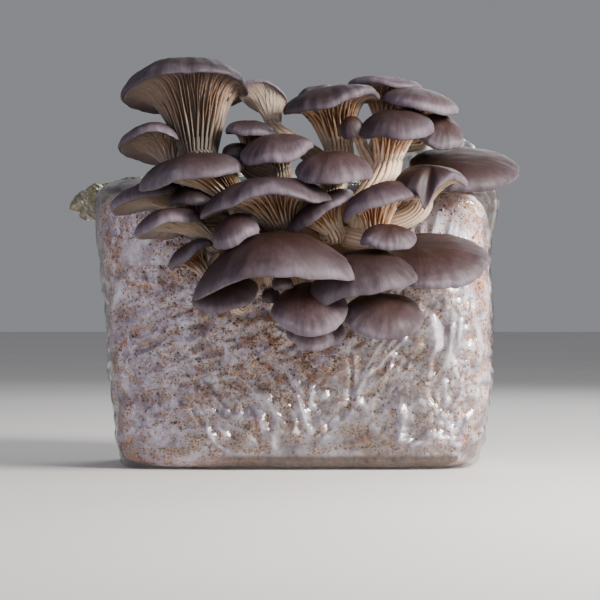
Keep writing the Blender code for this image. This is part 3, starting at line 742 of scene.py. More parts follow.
def inward(one, share, angle):
    """The way into the flesh from the underside."""
    small = 0.004
    along = under_points(one, share + small, angle) - under_points(one, share - small, angle)
    across = under_points(one, share, angle + small) - under_points(one, share, angle - small)
    normal = np.cross(across, along)
    length = np.linalg.norm(normal, axis=-1, keepdims=True)
    return -normal / np.maximum(length, 1e-9)


def uneven(one, points):
    """Slow dents and swellings of the flesh, which lift the top and the underside alike."""
    flat = points * (1, 1, 0) + 31.0 * INDEX[one.name]
    return noise_at(flat, 0.09, 11) * 0.7 + noise_at(flat, 0.24, 12) * 0.3


def cap_mesh(one):
    """The closed mesh of a cap: its top, its rolled margin and its gills."""
    sides = gill_count(one) * POINTS_PER_GILL
    first_edge = len(TOP_ROWS)
    first_under = first_edge + len(EDGE_ROWS)
    row_count = first_under + len(UNDER_ROWS) + 1
    mesh, row, side = turned_body("cap_" + one.name, row_count, sides)
    angle = even_angles(one, sides)[side]
    points = np.zeros((len(row), 3))
    out = np.ones(len(row))
    depth = np.zeros(len(row))

    on_top = row < first_edge
    share = np.array(TOP_ROWS)[row[on_top]]
    points[on_top] = top_points(one, share, angle[on_top])
    out[on_top] = share

    on_edge = (row >= first_edge) & (row < first_under)
    turn = np.array(EDGE_ROWS)[row[on_edge] - first_edge] * math.pi / 2
    rim = top_points(one, np.ones(on_edge.sum()), angle[on_edge])
    inside = rolled_under(one, np.full(on_edge.sum(), ROLLED_IN), angle[on_edge])
    round_in = (1 - np.cos(turn))[:, None]
    round_down = np.sin(turn)
    rim[:, 2] += (inside[:, 2] - rim[:, 2]) * round_down
    rim[:, :2] += (inside[:, :2] - rim[:, :2]) * round_in
    points[on_edge] = rim

    under = (row >= first_under) & (row < row_count - 1)
    share = np.array(UNDER_ROWS)[row[under] - first_under]
    strayed = angle[under] + wander(one, side[under], share) * smooth_step((1 - share) * 6)
    between = 1 - gill_height(one, side[under], share)
    full = gill_depth(one, share, strayed)
    flat = rolled_under(one, share, strayed)
    points[under] = flat + inward(one, share, strayed) * (full * between)[:, None]
    depth[under] = between * np.minimum(1, full / GILL_DEPTH + 0.15) * SMOOTHER.get(one.name, 1.0)
    out[under] = share
    points[row == row_count - 1] = neck_point(one)
    points[:, 2] += uneven(one, points) * smooth_step(out * 3)

    write_points(mesh, placed(points, cap_matrix(one)))
    # The seat's brown spreads further on some caps; on the arched cap that is painted shade.
    note(mesh, "out", out - SEAT_BROWN_AND_SHADE.get(one.name, 0.0) * (1 - out ** 3))
    # Flesh lightness at the neck and the margin: partly its own tone, partly painted shade and painted light
    at_neck, at_margin = flesh_tones_and_shade(one)
    note(mesh, "flesh_tone_and_shade", at_neck + (at_margin - at_neck) * smooth_step(out / 0.7))
    note(mesh, "depth", depth)
    note(mesh, "fibres", fibre_pattern(one, angle, out))
    # Each cap's lightness: partly its own tone, partly painted shade and painted light
    note(mesh, "tone_and_shade", np.full(len(row), SKIN_TONE_AND_SHADE.get(one.name, 1.0)))
    below = face_rows(mesh, row) >= first_under
    mesh.polygons.foreach_set("material_index", below.astype(np.int32))
    return mesh


for one in MUSHROOMS:
    name = "cap_" + one.name
    add_piece(name + "_skin", cap_mesh(one), "cap_skin", [name], skin, flesh)
print("caps:", len(MUSHROOMS), "with", sum(gill_count(one) for one in MUSHROOMS), "gills")

# %% [markdown]
# ## Stems
#
# A stem bends down from its cap and back into the cluster. It is swept along a Bezier curve, and its ribs
# carry on from the whole gills, so the rings of the sweep start turned the way the cap is. The ribs fade
# towards the root. A short collar runs up inside the funnel, so no gap shows between cap and stem.

# %% Stem curve
GAP = 0.35                    # between the gills and the start of the stem, mm
STEM_HANDLE = 0.32            # length of the curve's handles, as a share of the stem's
INTO_BASE = (0.0, 1.0, -0.6)  # the way a stem runs into the cluster


def stem_ends(one):
    """Start and end of a stem and the way it runs at each, in metres."""
    matrix = cap_matrix(one)
    start = matrix @ (neck_point(one) * MM)
    away = matrix.to_3x3() @ Vector((0.0, 0.0, -1.0))
    into = Vector(INTO_BASE).normalized()
    if one.grows_from:
        parent = BY_NAME[one.grows_from]
        end = stem_point(parent, one.branch_at)
        into = (stem_point(parent, one.branch_at + 0.05) - end).normalized()
    else:
        end = Vector(one.root) * MM
    return start + away * GAP * MM, away, end, into


def stem_handles(one):
    """The four control points of the stem's curve."""
    start, away, end, into = stem_ends(one)
    handle = (end - start).length * STEM_HANDLE
    return start, start + away * handle, end - into * handle, end


def stem_point(one, share):
    """A point part of the way down a stem."""
    a, b, c, d = stem_handles(one)
    rest = 1 - share
    return a * rest ** 3 + b * 3 * rest ** 2 * share + c * 3 * rest * share ** 2 + d * share ** 3


lengths = [(stem_point(one, 0.0) - stem_point(one, 1.0)).length / MM for one in MUSHROOMS]
print("longest stem, end to end:", round(max(lengths)), "mm")


# %% Stem
POINTS_PER_RIB = 8
RIB_DEPTH = 0.9               # at most, mm
ROW_STEP = 1.4                # length of stem for each row, mm
COLLAR_ROWS = (0.09, 0.05, 0.02)
COLLAR_INSET = 0.12           # how far the collar lies inside the funnel, mm
COLLAR_RISE = 3.0             # how far its point stands up inside the cap, mm


def stem_frames(one, count):
    """Centre and two side directions at each row, turned as little as can be from the cap's own."""
    shares = np.linspace(0, 1, count)
    centres = [stem_point(one, float(share)) for share in shares]
    turn = cap_matrix(one).to_3x3()
    side_x, side_y = turn @ Vector((1, 0, 0)), turn @ Vector((0, 1, 0))
    before = turn @ Vector((0, 0, -1))
    rows = []
    for number, centre in enumerate(centres):
        if number:
            ahead = centres[min(number + 1, count - 1)] - centres[number - 1]
            swing = before.rotation_difference(ahead.normalized())
            side_x, side_y, before = swing @ side_x, swing @ side_y, ahead.normalized()
        rows.append((centre, side_x.copy(), side_y.copy()))
    return rows


def rib_height(side):
    """1 on a rib and 0 between two."""
    from_rib = np.abs((side + POINTS_PER_RIB // 2) % POINTS_PER_RIB - POINTS_PER_RIB // 2)
    return smooth_step(1.8 * (1 - from_rib / (POINTS_PER_RIB * 0.5)))


def stem_mesh(one):
    """A closed, ribbed stem."""
    ribs = gill_count(one) // 4
    sides = ribs * POINTS_PER_RIB
    length = (stem_point(one, 0.0) - stem_point(one, 1.0)).length / MM
    count = max(10, round(length * 1.1 / ROW_STEP))
    first_stem = 1 + len(COLLAR_ROWS)
    row_count = first_stem + count + 1
    mesh, row, side = turned_body("stem_" + one.name, row_count, sides)
    whole = even_angles(one, gill_count(one) * POINTS_PER_GILL)
    closed = np.append(whole, whole[0] + math.tau)
    angle = np.interp(side / sides * len(whole), np.arange(len(whole) + 1), closed)
    up = rib_height(side)
    points = np.zeros((len(row), 3))
    depth = np.zeros(len(row))
    along = np.clip((row - first_stem) / (count - 1), 0, 1)
    matrix = cap_matrix(one)

    collar = (row > 0) & (row < first_stem)
    share = np.array(COLLAR_ROWS)[row[collar] - 1]
    strayed = angle[collar] + wander(one, side[collar] / 2, share)
    sunk = gill_depth(one, share, strayed) * (1 - up[collar]) + COLLAR_INSET
    flat = under_points(one, share, strayed)
    points[collar] = placed(flat + inward(one, share, strayed) * sunk[:, None], matrix)
    depth[collar] = (1 - up[collar]) * 0.7
    points[row == 0] = placed(np.array(neck_point(one))[None] + (0, 0, COLLAR_RISE), matrix)[0]

    rows = stem_frames(one, count)
    centres, side_x, side_y = (np.array([[*vector] for vector in part]) for part in zip(*rows))
    on_stem = (row >= first_stem) & (row < row_count - 1)
    step = row[on_stem] - first_stem
    share = along[on_stem]
    full = min(RIB_DEPTH, gill_depth(one, np.zeros(1), np.zeros(1))[0])
    chance = np.random.default_rng(6000 + INDEX[one.name])
    strength = chance.uniform(0.5, 1.25, ribs)[(side[on_stem] // POINTS_PER_RIB) % ribs]
    groove = full * (1 - 0.7 * smooth_step(share * 1.1)) * (1 - up[on_stem]) * strength
    uneven = 1 + 0.05 * np.sin(2 * angle[on_stem] + 5 * share + INDEX[one.name])
    radius = (one.neck + (one.foot - one.neck) * share) * uneven - groove
    strayed = angle[on_stem] + wander(one, side[on_stem] / 2, -share * length / 30)
    cos, sin = np.cos(strayed), np.sin(strayed)
    points[on_stem] = centres[step] + (
        side_x[step] * cos[:, None] + side_y[step] * sin[:, None]) * radius[:, None] * MM
    depth[on_stem] = (1 - up[on_stem]) * (0.7 - 0.3 * share) * strength
    points[row == row_count - 1] = centres[-1]

    write_points(mesh, points)
    note(mesh, "depth", depth)
    # the stem's flesh tone, partly painted shade
    note(mesh, "flesh_tone_and_shade", np.full(len(row), flesh_tones_and_shade(one)[0]))
    note(mesh, "fibres", fibre_pattern(one, angle, along * 2))
    return mesh


def solid_of(one):
    """The solid that holds a mushroom's stem: its own, or that of the stem it branches off."""
    while one.grows_from:
        one = BY_NAME[one.grows_from]
    return "stem_" + one.name


for one in MUSHROOMS:
    add_piece("stem_" + one.name + "_ribbed", stem_mesh(one), "stem_flesh", [solid_of(one)], flesh)
print("stems:", len(MUSHROOMS))

# %% [markdown]
# ## Cluster base
#
# Where the stems meet they grow into one uneven lump in the slit of the bag.

# %% Base
BASE_CENTRE = Vector((0.0, -67.0, 117.0))
BASE_RADII = (41.0, 9.0, 22.0)
BASE_FIBRES = 400.0           # fibres of 2.5 mm

bm = bmesh.new()
bmesh.ops.create_icosphere(bm, subdivisions=5, radius=1.0)
for vert in bm.verts:
    x, y, z = vert.co
    lump = 2.2 * math.sin(7 * x + 1) * math.cos(4 * z + y)
    lump += 1.6 * noise.noise(vert.co * 7) + 0.6 * noise.noise(vert.co * 23)
    stretched = Vector((x * BASE_RADII[0], y * BASE_RADII[1], z * BASE_RADII[2]))
    vert.co = (BASE_CENTRE + stretched + vert.co * lump) * MM
mesh = to_mesh("cluster_base", bm)
points = read_points(mesh)
note(mesh, "depth", np.full(len(points), 0.45))
note(mesh, "flesh_tone_and_shade", np.full(len(points), 0.6))
note(mesh, "fibres", points * BASE_FIBRES)
add_piece("cluster_base_lump", mesh, "stem_flesh", ["cluster_base"], flesh)
print("base has", len(mesh.polygons), "faces")

# %% [markdown]
# ## Folds in the front of the bag
#
# The film is drawn tight over the block and has fallen into folds, and the mycelium has grown into them, so
# block and film share one relief. Each fold is a short path on the front, across and up in millimetres, with
# its width and its height, below zero for a groove. The sides and the back get folds of their own from a
# seeded draw.

# %% Folds
# Width, height and path of each ridge
RIDGES = [
    (2.0, 1.5, [(-2, 46), (1, 42)]),
    (1.4, 1.6, [(7, 42), (5.5, 34)]),
    (2.2, 2.0, [(-1, 37), (1, 31), (4, 23), (6, 21)]),
    (1.8, 1.6, [(-3, 30), (-1, 25), (-2, 20)]),
    (2.4, 1.8, [(-23, 40), (-17, 36), (-13, 29), (-11, 25)]),
    (2.0, 1.7, [(-19, 25), (-18, 17)]),
    (3.0, 1.5, [(-13, 19), (-12, 11)]),
    (1.4, 1.6, [(53, 66), (46, 59), (40, 52), (35, 49), (30, 42), (30, 38)]),
    (1.6, 1.2, [(12, 16), (27, 29)]),
    (2.0, 1.8, [(30, 35), (34, 32)]),
    (1.2, 1.4, [(-37, 63), (-37, 59), (-38, 55)]),
    (1.4, 1.6, [(-47, 24), (-46, 19), (-42, 13), (-36, 9)]),
    (1.6, 1.2, [(-41, 24), (-38, 18)]),
    (3.5, 1.6, [(68, 75), (70, 66), (68, 60)]),
    (3.0, 1.2, [(79, 76), (78, 64), (74, 54)]),
    (1.2, 1.2, [(74, 46), (75, 35)]),
    (2.2, 1.9, [(51, 31), (53, 28), (52, 20), (51, 15)]),
    (1.3, 1.1, [(57, 13), (65, 18), (72, 18)]),
    (1.3, 1.1, [(57, 12), (67, 17), (77, 15)]),
    (1.3, 0.9, [(61, 13), (80, 13)]),
    (1.2, 1.2, [(82, 75), (81, 69), (80, 62)]),
    (1.6, 0.9, [(-85, 104), (-67, 107)]),
    (1.6, 0.9, [(-92, 99), (-82, 96), (-72, 94)]),
    (1.2, 0.8, [(28, 60), (29, 50), (28, 39)]),
]
# Where small wrinkles run one way: across, up, half-width, half-height, slope in radians and height
WRINKLED = [
    (-88, 76, 22, 26, 0.30, 0.9), (-60, 62, 26, 20, 0.50, 0.9), (-78, 26, 26, 20, -0.45, 0.8),
    (-34, 36, 24, 20, -0.75, 1.0), (0, 30, 20, 20, -1.00, 0.9), (-14, 62, 24, 12, 0.60, 0.7),
    (40, 50, 20, 20, 0.85, 0.9), (84, 34, 14, 30, 1.30, 0.8), (70, 14, 24, 8, 0.12, 1.0),
    (92, 100, 8, 34, 1.40, 0.6), (-96, 46, 5, 50, 1.50, 1.0), (-78, 110, 20, 16, 0.10, 0.6),
    (66, 104, 20, 20, 0.30, 0.8), (20, 12, 34, 8, 0.20, 0.6),
]
# Width, depth and path of each groove
GROOVES = [
    (0.9, 1.2, [(0, 26), (1, 20)]),
    (0.9, 1.2, [(26, 60), (27, 50), (26, 39)]),
    (0.9, 1.0, [(8, 34), (26, 37), (38, 39)]),
    (1.2, 1.3, [(52, 63), (45, 56), (40, 50), (35, 46)]),
    (1.0, 1.2, [(-55, 33), (-52, 28), (-48, 23)]),
    (0.9, 0.9, [(-89, 27), (-79, 26), (-66, 31)]),
    (0.9, 1.0, [(-72, 60), (-69, 57), (-65, 56)]),
    (1.0, 1.0, [(-59, 53), (-55, 48), (-51, 44)]),
    (1.2, 0.8, [(-83, 61), (-71, 66), (-61, 70)]),
    (1.0, 1.8, [(70, 79), (75, 73), (74.5, 64), (70, 57), (69, 50)]),
    (0.9, 1.5, [(70, 45), (68, 41), (68, 36), (73, 31), (78, 29)]),
    (0.9, 0.9, [(91, 67), (90, 50), (87, 47)]),
    (1.3, 0.8, [(-85, 102), (-67, 104)]),
    (1.3, 0.8, [(-92, 96), (-82, 93), (-72, 91)]),
    (1.2, 0.8, [(-72, 80), (-55, 89)]),
    (1.2, 0.7, [(-75, 74), (-50, 84)]),
    (1.2, 0.7, [(-75, 64), (-48, 76)]),
    (1.2, 0.7, [(-86, 69), (-60, 75)]),
    (1.0, 0.8, [(6, 16), (27, 36)]),
    (1.0, 1.0, [(73, 50), (71, 47)]),
]
SIDE_FOLDS = 90
CREST_POWER = 1.4             # how sharp a fold is; 2 would be round
RIDGE_GAIN = 1.15             # how much higher the ridges are than in the table
SHADOW_SHARE = 0.6            # depth of the groove beside a ridge, as a share of its height
SHADOW_ACROSS = 1.5           # how far left of the ridge it runs, in widths
SHADOW_DOWN = 0.5             # and how far below it


def soft_spot(across, up, x, z, half_width, half_height):
    """1 in the middle of an oval and 0 outside."""
    return np.exp(-((across - x) / half_width) ** 2 - ((up - z) / half_height) ** 2)


def small_wrinkles(across, up):
    """Thin crests, a few millimetres apart and a few times as long, that run the way the film is pulled."""
    height = np.zeros_like(across)
    for number, (x, z, half_width, half_height, slope, rise) in enumerate(WRINKLED):
        there = soft_spot(across, up, x, z, half_width, half_height)
        near = there > 0.05
        cos, sin = math.cos(slope), math.sin(slope)
        along = across[near] * cos + up[near] * sin
        over = up[near] * cos - across[near] * sin
        pattern = np.stack([along * 0.045, over * 0.20, np.full_like(over, number * 3.7)], axis=1)
        crest = 1 - np.minimum(1, np.abs(noise_at(pattern, 1.0, 40 + number)) * 4.5)
        height[near] += 1.4 * rise * there[near] * crest ** 1.5
    return height


def path_distance(across, up, path):
    """How far points are from a path of short straight runs."""
    nearest = np.full(across.shape, 1e9)
    for (x1, z1), (x2, z2) in zip(path, path[1:]):
        run_x, run_z = x2 - x1, z2 - z1
        share = ((across - x1) * run_x + (up - z1) * run_z) / (run_x ** 2 + run_z ** 2)
        share = np.clip(share, 0, 1)
        nearest = np.minimum(nearest, np.hypot(across - x1 - share * run_x, up - z1 - share * run_z))
    return nearest


def side_folds():
    """Folds for the sides and the back, from a seeded draw."""
    chance = np.random.default_rng(77)
    for _ in range(SIDE_FOLDS):
        x, z = chance.uniform(103, 325) * chance.choice([-1, 1]), chance.uniform(6, 138)
        lean = chance.normal(1.2, 0.6)
        length = chance.uniform(8, 34)
        path = [(x, z), (x + length * math.cos(lean) / 2, z + length * math.sin(lean) / 2 + 1),
                (x + length * math.cos(lean + 0.3), z + length * math.sin(lean + 0.3))]
        yield chance.uniform(1.0, 2.6), chance.uniform(0.6, 1.6) * chance.choice([1, 1, -0.8]), path


def fold(across, up, path, width, power=CREST_POWER):
    """1 on the crest of a fold and 0 away from it."""
    return np.exp(-(path_distance(across, up, path) / width) ** power)


def fold_relief(across, up):
    """Height of the folds at points given across and up the unrolled face of the bag."""
    height = np.zeros_like(across)
    for width, rise, path in RIDGES:
        height += RIDGE_GAIN * rise * fold(across, up, path, width)
        beside = across + SHADOW_ACROSS * width
        height -= SHADOW_SHARE * rise * fold(beside, up + SHADOW_DOWN * width, path, width)
    for width, fall, path in GROOVES:
        height -= fall * fold(across, up, path, width)
    for width, rise, path in side_folds():
        height += rise * fold(across, up, path, width, 2)
    return height


print("folds:", len(RIDGES) + len(GROOVES), "on the front and", SIDE_FOLDS, "round the rest")

# %% [markdown]
# ## The wrapped block
#
# The block's outline is a rounded rectangle that widens a little upwards, and its shoulders are rounder than
# the film over them. Both bodies are turned from the same rows as the solids, many times finer, and then get
# the folds and a slow unevenness.

# %% Block and film outlines
BAG_DEPTH = 127.0             # front to back, mm
CORNER = 5.0                  # how square the outline is; 2 would be an ellipse
LUMP = 0.5                    # of the slow unevenness, mm
LUMP_TWIST = 0.05             # how far it turns with height, radians for each mm
HALF_WIDTH = 101.0            # of the usual outline, mm
HALF_DEPTH = 63.0
FACE_HALF = 100.0             # half-width of the unrolled front and back, mm
SIDE_LENGTH = 125.0           # of the unrolled sides
FRONT_Y = -62.0               # where the unrolled front ends and the sides start
SHOULDER = 136.0              # height at which the walls begin to turn into the top
SHOULDER_RISE = 10.0          # height over which they do
# Height, half-width to the left and to the right, and how far front and back are drawn in
BAG_LEVELS = np.array([
    (0.0, 90.0, 90.0, 5.0),
    (1.6, 93.5, 93.8, 2.2),
    (9.0, 96.2, 96.8, 0.5),
    (50.0, 99.4, 100.4, 0.0),
    (86.0, 101.2, 101.2, 0.0),
    (104.0, 103.6, 100.2, 0.0),
    (124.0, 106.8, 102.8, 0.5),
    (138.0, 107.6, 104.6, 2.0),
    (145.5, 105.0, 103.0, 6.0),
    (149.0, 96.0, 95.0, 15.0),
    (150.5, 70.0, 70.0, 34.0),
])
BLOCK_LEVELS = np.array([
    (1.2, 86.0, 86.0, 8.0),
    (4.0, 92.0, 92.4, 3.6),
    (14.0, 95.4, 96.4, 1.4),
    (50.0, 98.2, 99.2, 1.1),
    (86.0, 100.0, 100.0, 1.1),
    (106.0, 103.0, 98.5, 1.1),
    (122.0, 105.6, 98.4, 1.4),
    (134.0, 105.8, 97.6, 2.8),
    (141.0, 99.0, 92.0, 8.0),
    (144.0, 72.0, 70.0, 30.0),
])
WRAP_SIDES = 520
WALL_ROWS = 168
TOP_RINGS = 12
FLOOR_RINGS = 5
FLOOR_ROW = TOP_RINGS + WALL_ROWS
ROW_COUNT = FLOOR_ROW + FLOOR_RINGS + 1
CLOSER_Y = -52.0              # the front, for the spacing of the points
CLOSER_IN_FRONT = 2.5         # how much closer they stand there
CLOSER_BELOW = 1.8            # and below the mushrooms
MUSHROOM_FOOT = 100.0         # height of the lowest part that they hide, mm


def squarish(cos, sin):
    """How far out a rounded rectangle reaches at an angle, as a share of its half-sizes."""
    return (np.abs(cos) ** CORNER + np.abs(sin) ** CORNER) ** (-1 / CORNER)


def wrap_angles():
    """The angle of each side, even along the outline but closer on the front."""
    fine = np.linspace(-math.pi, math.pi, 4001)
    out = squarish(np.cos(fine), np.sin(fine))
    x, y = FACE_HALF * out * np.cos(fine), HALF_DEPTH * out * np.sin(fine)
    weight = np.where(y[1:] < CLOSER_Y, CLOSER_IN_FRONT, 1.0)
    along = np.concatenate([[0.0], np.cumsum(np.hypot(np.diff(x), np.diff(y)) * weight)])
    return np.interp(np.arange(WRAP_SIDES) / WRAP_SIDES * along[-1], along, fine)


def level_rows(levels):
    """Outline sizes for fine rows, even along the curve of the wall, from the top down."""
    drop = levels[::-1]
    weight = np.where(drop[1:, 0] < MUSHROOM_FOOT, CLOSER_BELOW, 1)
    steps = np.hypot(np.diff(drop[:, 0]), np.diff(drop[:, 1])) * weight
    along = np.concatenate([[0.0], np.cumsum(steps)])
    wanted = np.linspace(0, along[-1], WALL_ROWS)
    rows = np.stack([np.interp(wanted, along, drop[:, part]) for part in range(4)], axis=1)
    for _ in range(3):
        rows[1:-1] = (rows[:-2] + 2 * rows[1:-1] + rows[2:]) / 4
    return rows


def wrapped_points(levels, row, side):
    """Places of a turned body's points on the outlines, and how far across and up its face they are."""
    rows = level_rows(levels)
    wall = np.clip(row - TOP_RINGS, 0, WALL_ROWS - 1)
    height, left, right, drawn_in = rows[wall].T
    angle = wrap_angles()[side]
    cos, sin = np.cos(angle), np.sin(angle)
    out = squarish(cos, sin)
    half_width = np.where(cos > 0, right, left)
    lump = LUMP * np.sin(3 * angle + height * LUMP_TWIST)
    x = (half_width + lump) * out * cos
    y = (BAG_DEPTH / 2 - drawn_in + lump) * out * sin
    ring = np.where(row < TOP_RINGS, row / TOP_RINGS, 1.0)
    ring = np.where(row >= FLOOR_ROW, 1 - (row - FLOOR_ROW + 1) / (FLOOR_RINGS + 1), ring)
    # across runs round the bag from the middle of its front, left below zero
    turned = np.angle(np.exp(1j * (angle + math.pi / 2)))
    on_side = np.sign(turned) * (FACE_HALF + np.abs(y - FRONT_Y))
    across = np.where(np.abs(turned) < math.pi / 4, x, on_side)
    back = np.abs(turned) > 3 * math.pi / 4
    across = np.where(back, np.sign(turned) * (2 * FACE_HALF + SIDE_LENGTH - np.abs(x)), across)
    return np.stack([x * ring, y * ring, height], axis=1), across, height


def outward(points, row):
    """The way out of the wrapped block: level on the walls, up on the top."""
    away = points * (1.0, 1.0, 0.0)
    for part, half in enumerate((HALF_WIDTH, HALF_DEPTH)):
        away[:, part] = np.sign(points[:, part]) * np.abs(points[:, part] / half) ** (CORNER - 1) / half
    away /= np.maximum(np.linalg.norm(away, axis=1, keepdims=True), 1e-9)
    top = smooth_step((points[:, 2] - SHOULDER) / SHOULDER_RISE)[:, None]
    away = away * (1 - top) + np.array([0, 0, 1.0]) * top
    away[row >= FLOOR_ROW] = 0
    return away


print("points in the wrap:", (ROW_COUNT - 2) * WRAP_SIDES + 2)

# %% [markdown]
# ## Mycelium and sawdust
#
# The block is sawdust that white mycelium has grown through. From near by it is off-white with rust-brown,
# orange and a few black specks of half a millimetre to two, dense in the middle of the front, lined up in the
# grooves, and missing where a fold has filled with mycelium. The specks that gather beside each ridge are
# also painted shade, and the bare white crests and spots are also painted highlight.

# %% Block material
WARP_SCALE = 620.0            # how ragged the specks are, over 1.6 mm
CLUMP_SCALE = 210.0           # clumps of specks, 5 mm
CLOUD_SCALE = 95.0            # thick and thin mycelium, 11 mm
FLUFF_SCALE = 420.0           # tufts of 2.4 mm
# Fine specks 1 mm apart and coarse ones 1.8 mm apart: scale, radius, how many more show, and colours
SPECKS = [
    (1050.0, 0.48, 1.7, [(0.0, "#4a2f20"), (0.35, "#8f5322"), (1.0, "#cb9048")]),
    (560.0, 0.40, 1.0, [(0.0, "#2a1a12"), (0.2, "#5e3016"), (0.5, "#94521a"), (0.8, "#bd7524"),
                        (1.0, "#d39a48")]),
]

substrate, tree, shader = surface("mycelium on sawdust", 0.75)
place = add(tree, "TexCoord", out="Object")
dense, foot_shadow, warm = (
    add(tree, "Attribute", out="Fac", attribute_name=name) for name in ("dense", "foot_shadow", "warm"))
warped = add(tree, "TexNoise", {"Vector": place, "Scale": WARP_SCALE, "Detail": 2.0}, out=1)
speck_place = add(tree, "Mix", {0: 0.0020, 6: place, 7: warped}, out=2, data_type="RGBA",
                  blend_type="ADD")
drawn_out = add(tree, "Mapping", {
    "Vector": place, "Rotation": (0.0, 0.3, 0.0), "Scale": (0.4, 1.0, 1.0)})
clump = add(tree, "TexNoise", {"Vector": drawn_out, "Scale": CLUMP_SCALE, "Detail": 4.0})
clumped = add(tree, "MapRange", {0: clump, 1: 0.40, 2: 0.58, 3: 0.15, 4: 1.0})
wanted = add(tree, "Math", {0: dense, 1: clumped}, operation="MULTIPLY")
cloud = add(tree, "TexNoise", {"Vector": place, "Scale": CLOUD_SCALE, "Detail": 5.0})
tint = add(tree, "ValToRGB", {"Fac": cloud}, stops=[
    (0.30, "#82758a"), (0.42, "#a79bad"), (0.54, "#d0c9d6"), (0.7, "#efecf5"),
])

# Sawdust stains the mycelium, thin mycelium is warm in places, and the foot gets a painted shadow and a
# painted brown reflection.
stained = add(tree, "MapRange", {0: wanted, 1: 0.1, 2: 0.8, 3: 0.0, 4: 0.5})
thin = add(tree, "MapRange", {0: cloud, 1: 0.60, 2: 0.36})
warmed = add(tree, "Math", {0: warm, 1: thin}, operation="MULTIPLY")
foot_shadow_amount = add(tree, "Math", {0: foot_shadow, 1: 0.95}, operation="MULTIPLY")
for amount, colour in ((stained, "#bf9468"), (warmed, "#dfb591"), (foot_shadow_amount, "#3e2416")):
    tint = add(tree, "Mix", {0: amount, 6: tint, 7: linear(colour)}, out=2, data_type="RGBA")

# Each cell draws two numbers: whether it holds a speck, and that speck's colour. Few show in the painted
# shadow at the foot.
clear_of_foot_shadow = add(tree, "Math", {0: foot_shadow, 1: -0.8, 2: 1.0}, operation="MULTIPLY_ADD")
for scale, radius, more, colours in SPECKS:
    cell = add(tree, "TexVoronoi", {"Vector": speck_place, "Scale": scale, "Randomness": 1.0})
    draw = add(tree, "SeparateColor", {"Color": cell.node.outputs["Color"]})
    inside = add(tree, "Math", {0: cell, 1: radius}, operation="LESS_THAN")
    limit = add(tree, "Math", {0: wanted, 1: more}, operation="MULTIPLY")
    chosen = add(tree, "Math", {0: draw, 1: limit}, operation="LESS_THAN")
    speck = add(tree, "Math", {0: inside, 1: chosen}, operation="MULTIPLY")
    shown = add(tree, "Math", {0: speck, 1: clear_of_foot_shadow}, operation="MULTIPLY")
    rust = add(tree, "ValToRGB", {"Fac": draw.node.outputs[1]}, stops=colours)
    tint = add(tree, "Mix", {0: shown, 6: tint, 7: rust}, out=2, data_type="RGBA")
tree.links.new(tint, shader.inputs["Base Color"])

fluff = add(tree, "TexNoise", {"Vector": place, "Scale": FLUFF_SCALE, "Detail": 4.0})
fluffy = add(tree, "Math", {0: fluff, 1: cloud}, operation="ADD")
sunk = add(tree, "Math", {0: speck, 1: 0.4}, operation="MULTIPLY")
bumps = add(tree, "Math", {0: fluffy, 1: sunk}, operation="SUBTRACT")
relief = add(tree, "Bump", {"Height": bumps, "Strength": 0.8, "Distance": 0.0014})
tree.links.new(relief, shader.inputs["Normal"])
print("made", substrate.name)

# %% Block
# Where the specks are dense: across, up, half-width, half-height and how dense
DENSE = [
    (-12, 72, 36, 20, 1.0), (-22, 48, 34, 20, 0.85), (14, 55, 30, 16, 0.95), (0, 40, 46, 14, 0.7),
    (34, 17, 19, 9, 0.95), (42, 46, 22, 14, 0.6), (24, 37, 12, 5, 0.8), (-60, 40, 34, 34, 0.55),
    (-85, 55, 22, 70, 0.5), (88, 45, 14, 60, 0.55), (60, 62, 16, 12, 0.45), (-70, 98, 28, 8, 0.75),
    (-45, 12, 46, 10, 0.65), (62, 24, 30, 14, 0.40), (-10, 20, 34, 12, 0.70), (-88, 120, 14, 14, 0.35),
]
# Where a fold has filled with mycelium and no specks show; the white there is partly painted highlight
BARE = [
    (17, 27, 10, 4), (69, 68, 5, 9), (77, 64, 4, 12), (73, 38, 4, 8), (52, 24, 5, 10),
    (60, 100, 9, 7), (-86, 110, 9, 9), (34, 33, 5, 4), (82, 120, 20, 18),
]
USUAL_DENSITY = 0.40
SIDE_DENSITY = 0.6
FRONT_HALF = 92.0             # how far across the front the fine relief goes, mm
SIDE_START = 99.0             # where the sides start, mm
RELIEF_SHARE = 0.8            # how much of the folds is in the block

mesh, row, side = turned_body("block", ROW_COUNT, WRAP_SIDES)
tight, across, up = wrapped_points(BLOCK_LEVELS, row, side)
folds = fold_relief(across, up)
wrinkled = small_wrinkles(across, up)
fine = np.where(np.abs(across) > FRONT_HALF, 0.1, 0.45)
lumps = noise_at(tight, 0.05, 1) * 1.2 + noise_at(tight, 0.16, 2) * 0.9 + noise_at(tight, 0.4, 3) * fine
lumps[row >= FLOOR_ROW] = 0
height = folds * RELIEF_SHARE + wrinkled * RELIEF_SHARE + lumps
block_points = tight + outward(tight, row) * height[:, None]
block_points[:, 2] = np.maximum(block_points[:, 2], 1.0)
write_points(mesh, block_points * MM)

density = np.full(len(row), USUAL_DENSITY)
for x, z, half_width, half_height, amount in DENSE:
    density = np.maximum(density, amount * soft_spot(across, up, x, z, half_width, half_height))
density = np.where(np.abs(across) > SIDE_START, SIDE_DENSITY, density) * 1.15
# Fewer specks on crests, more in grooves and beside ridges: partly real, partly painted highlight and painted
# shade
density = density - np.clip(folds + 0.5 * wrinkled, -0.8, 1.5) * 0.5
for x, z, half_width, half_height in BARE:
    density *= 1 - 0.8 * soft_spot(across, up, x, z, half_width, half_height)
note(mesh, "dense", np.clip(density, 0.0, 1.0))
right_shoulder = soft_spot(across, up, 78, 118, 32, 20)
left_shoulder = soft_spot(across, up, -88, 122, 16, 16)
note(mesh, "warm", 0.8 * right_shoulder + 0.25 * left_shoulder)
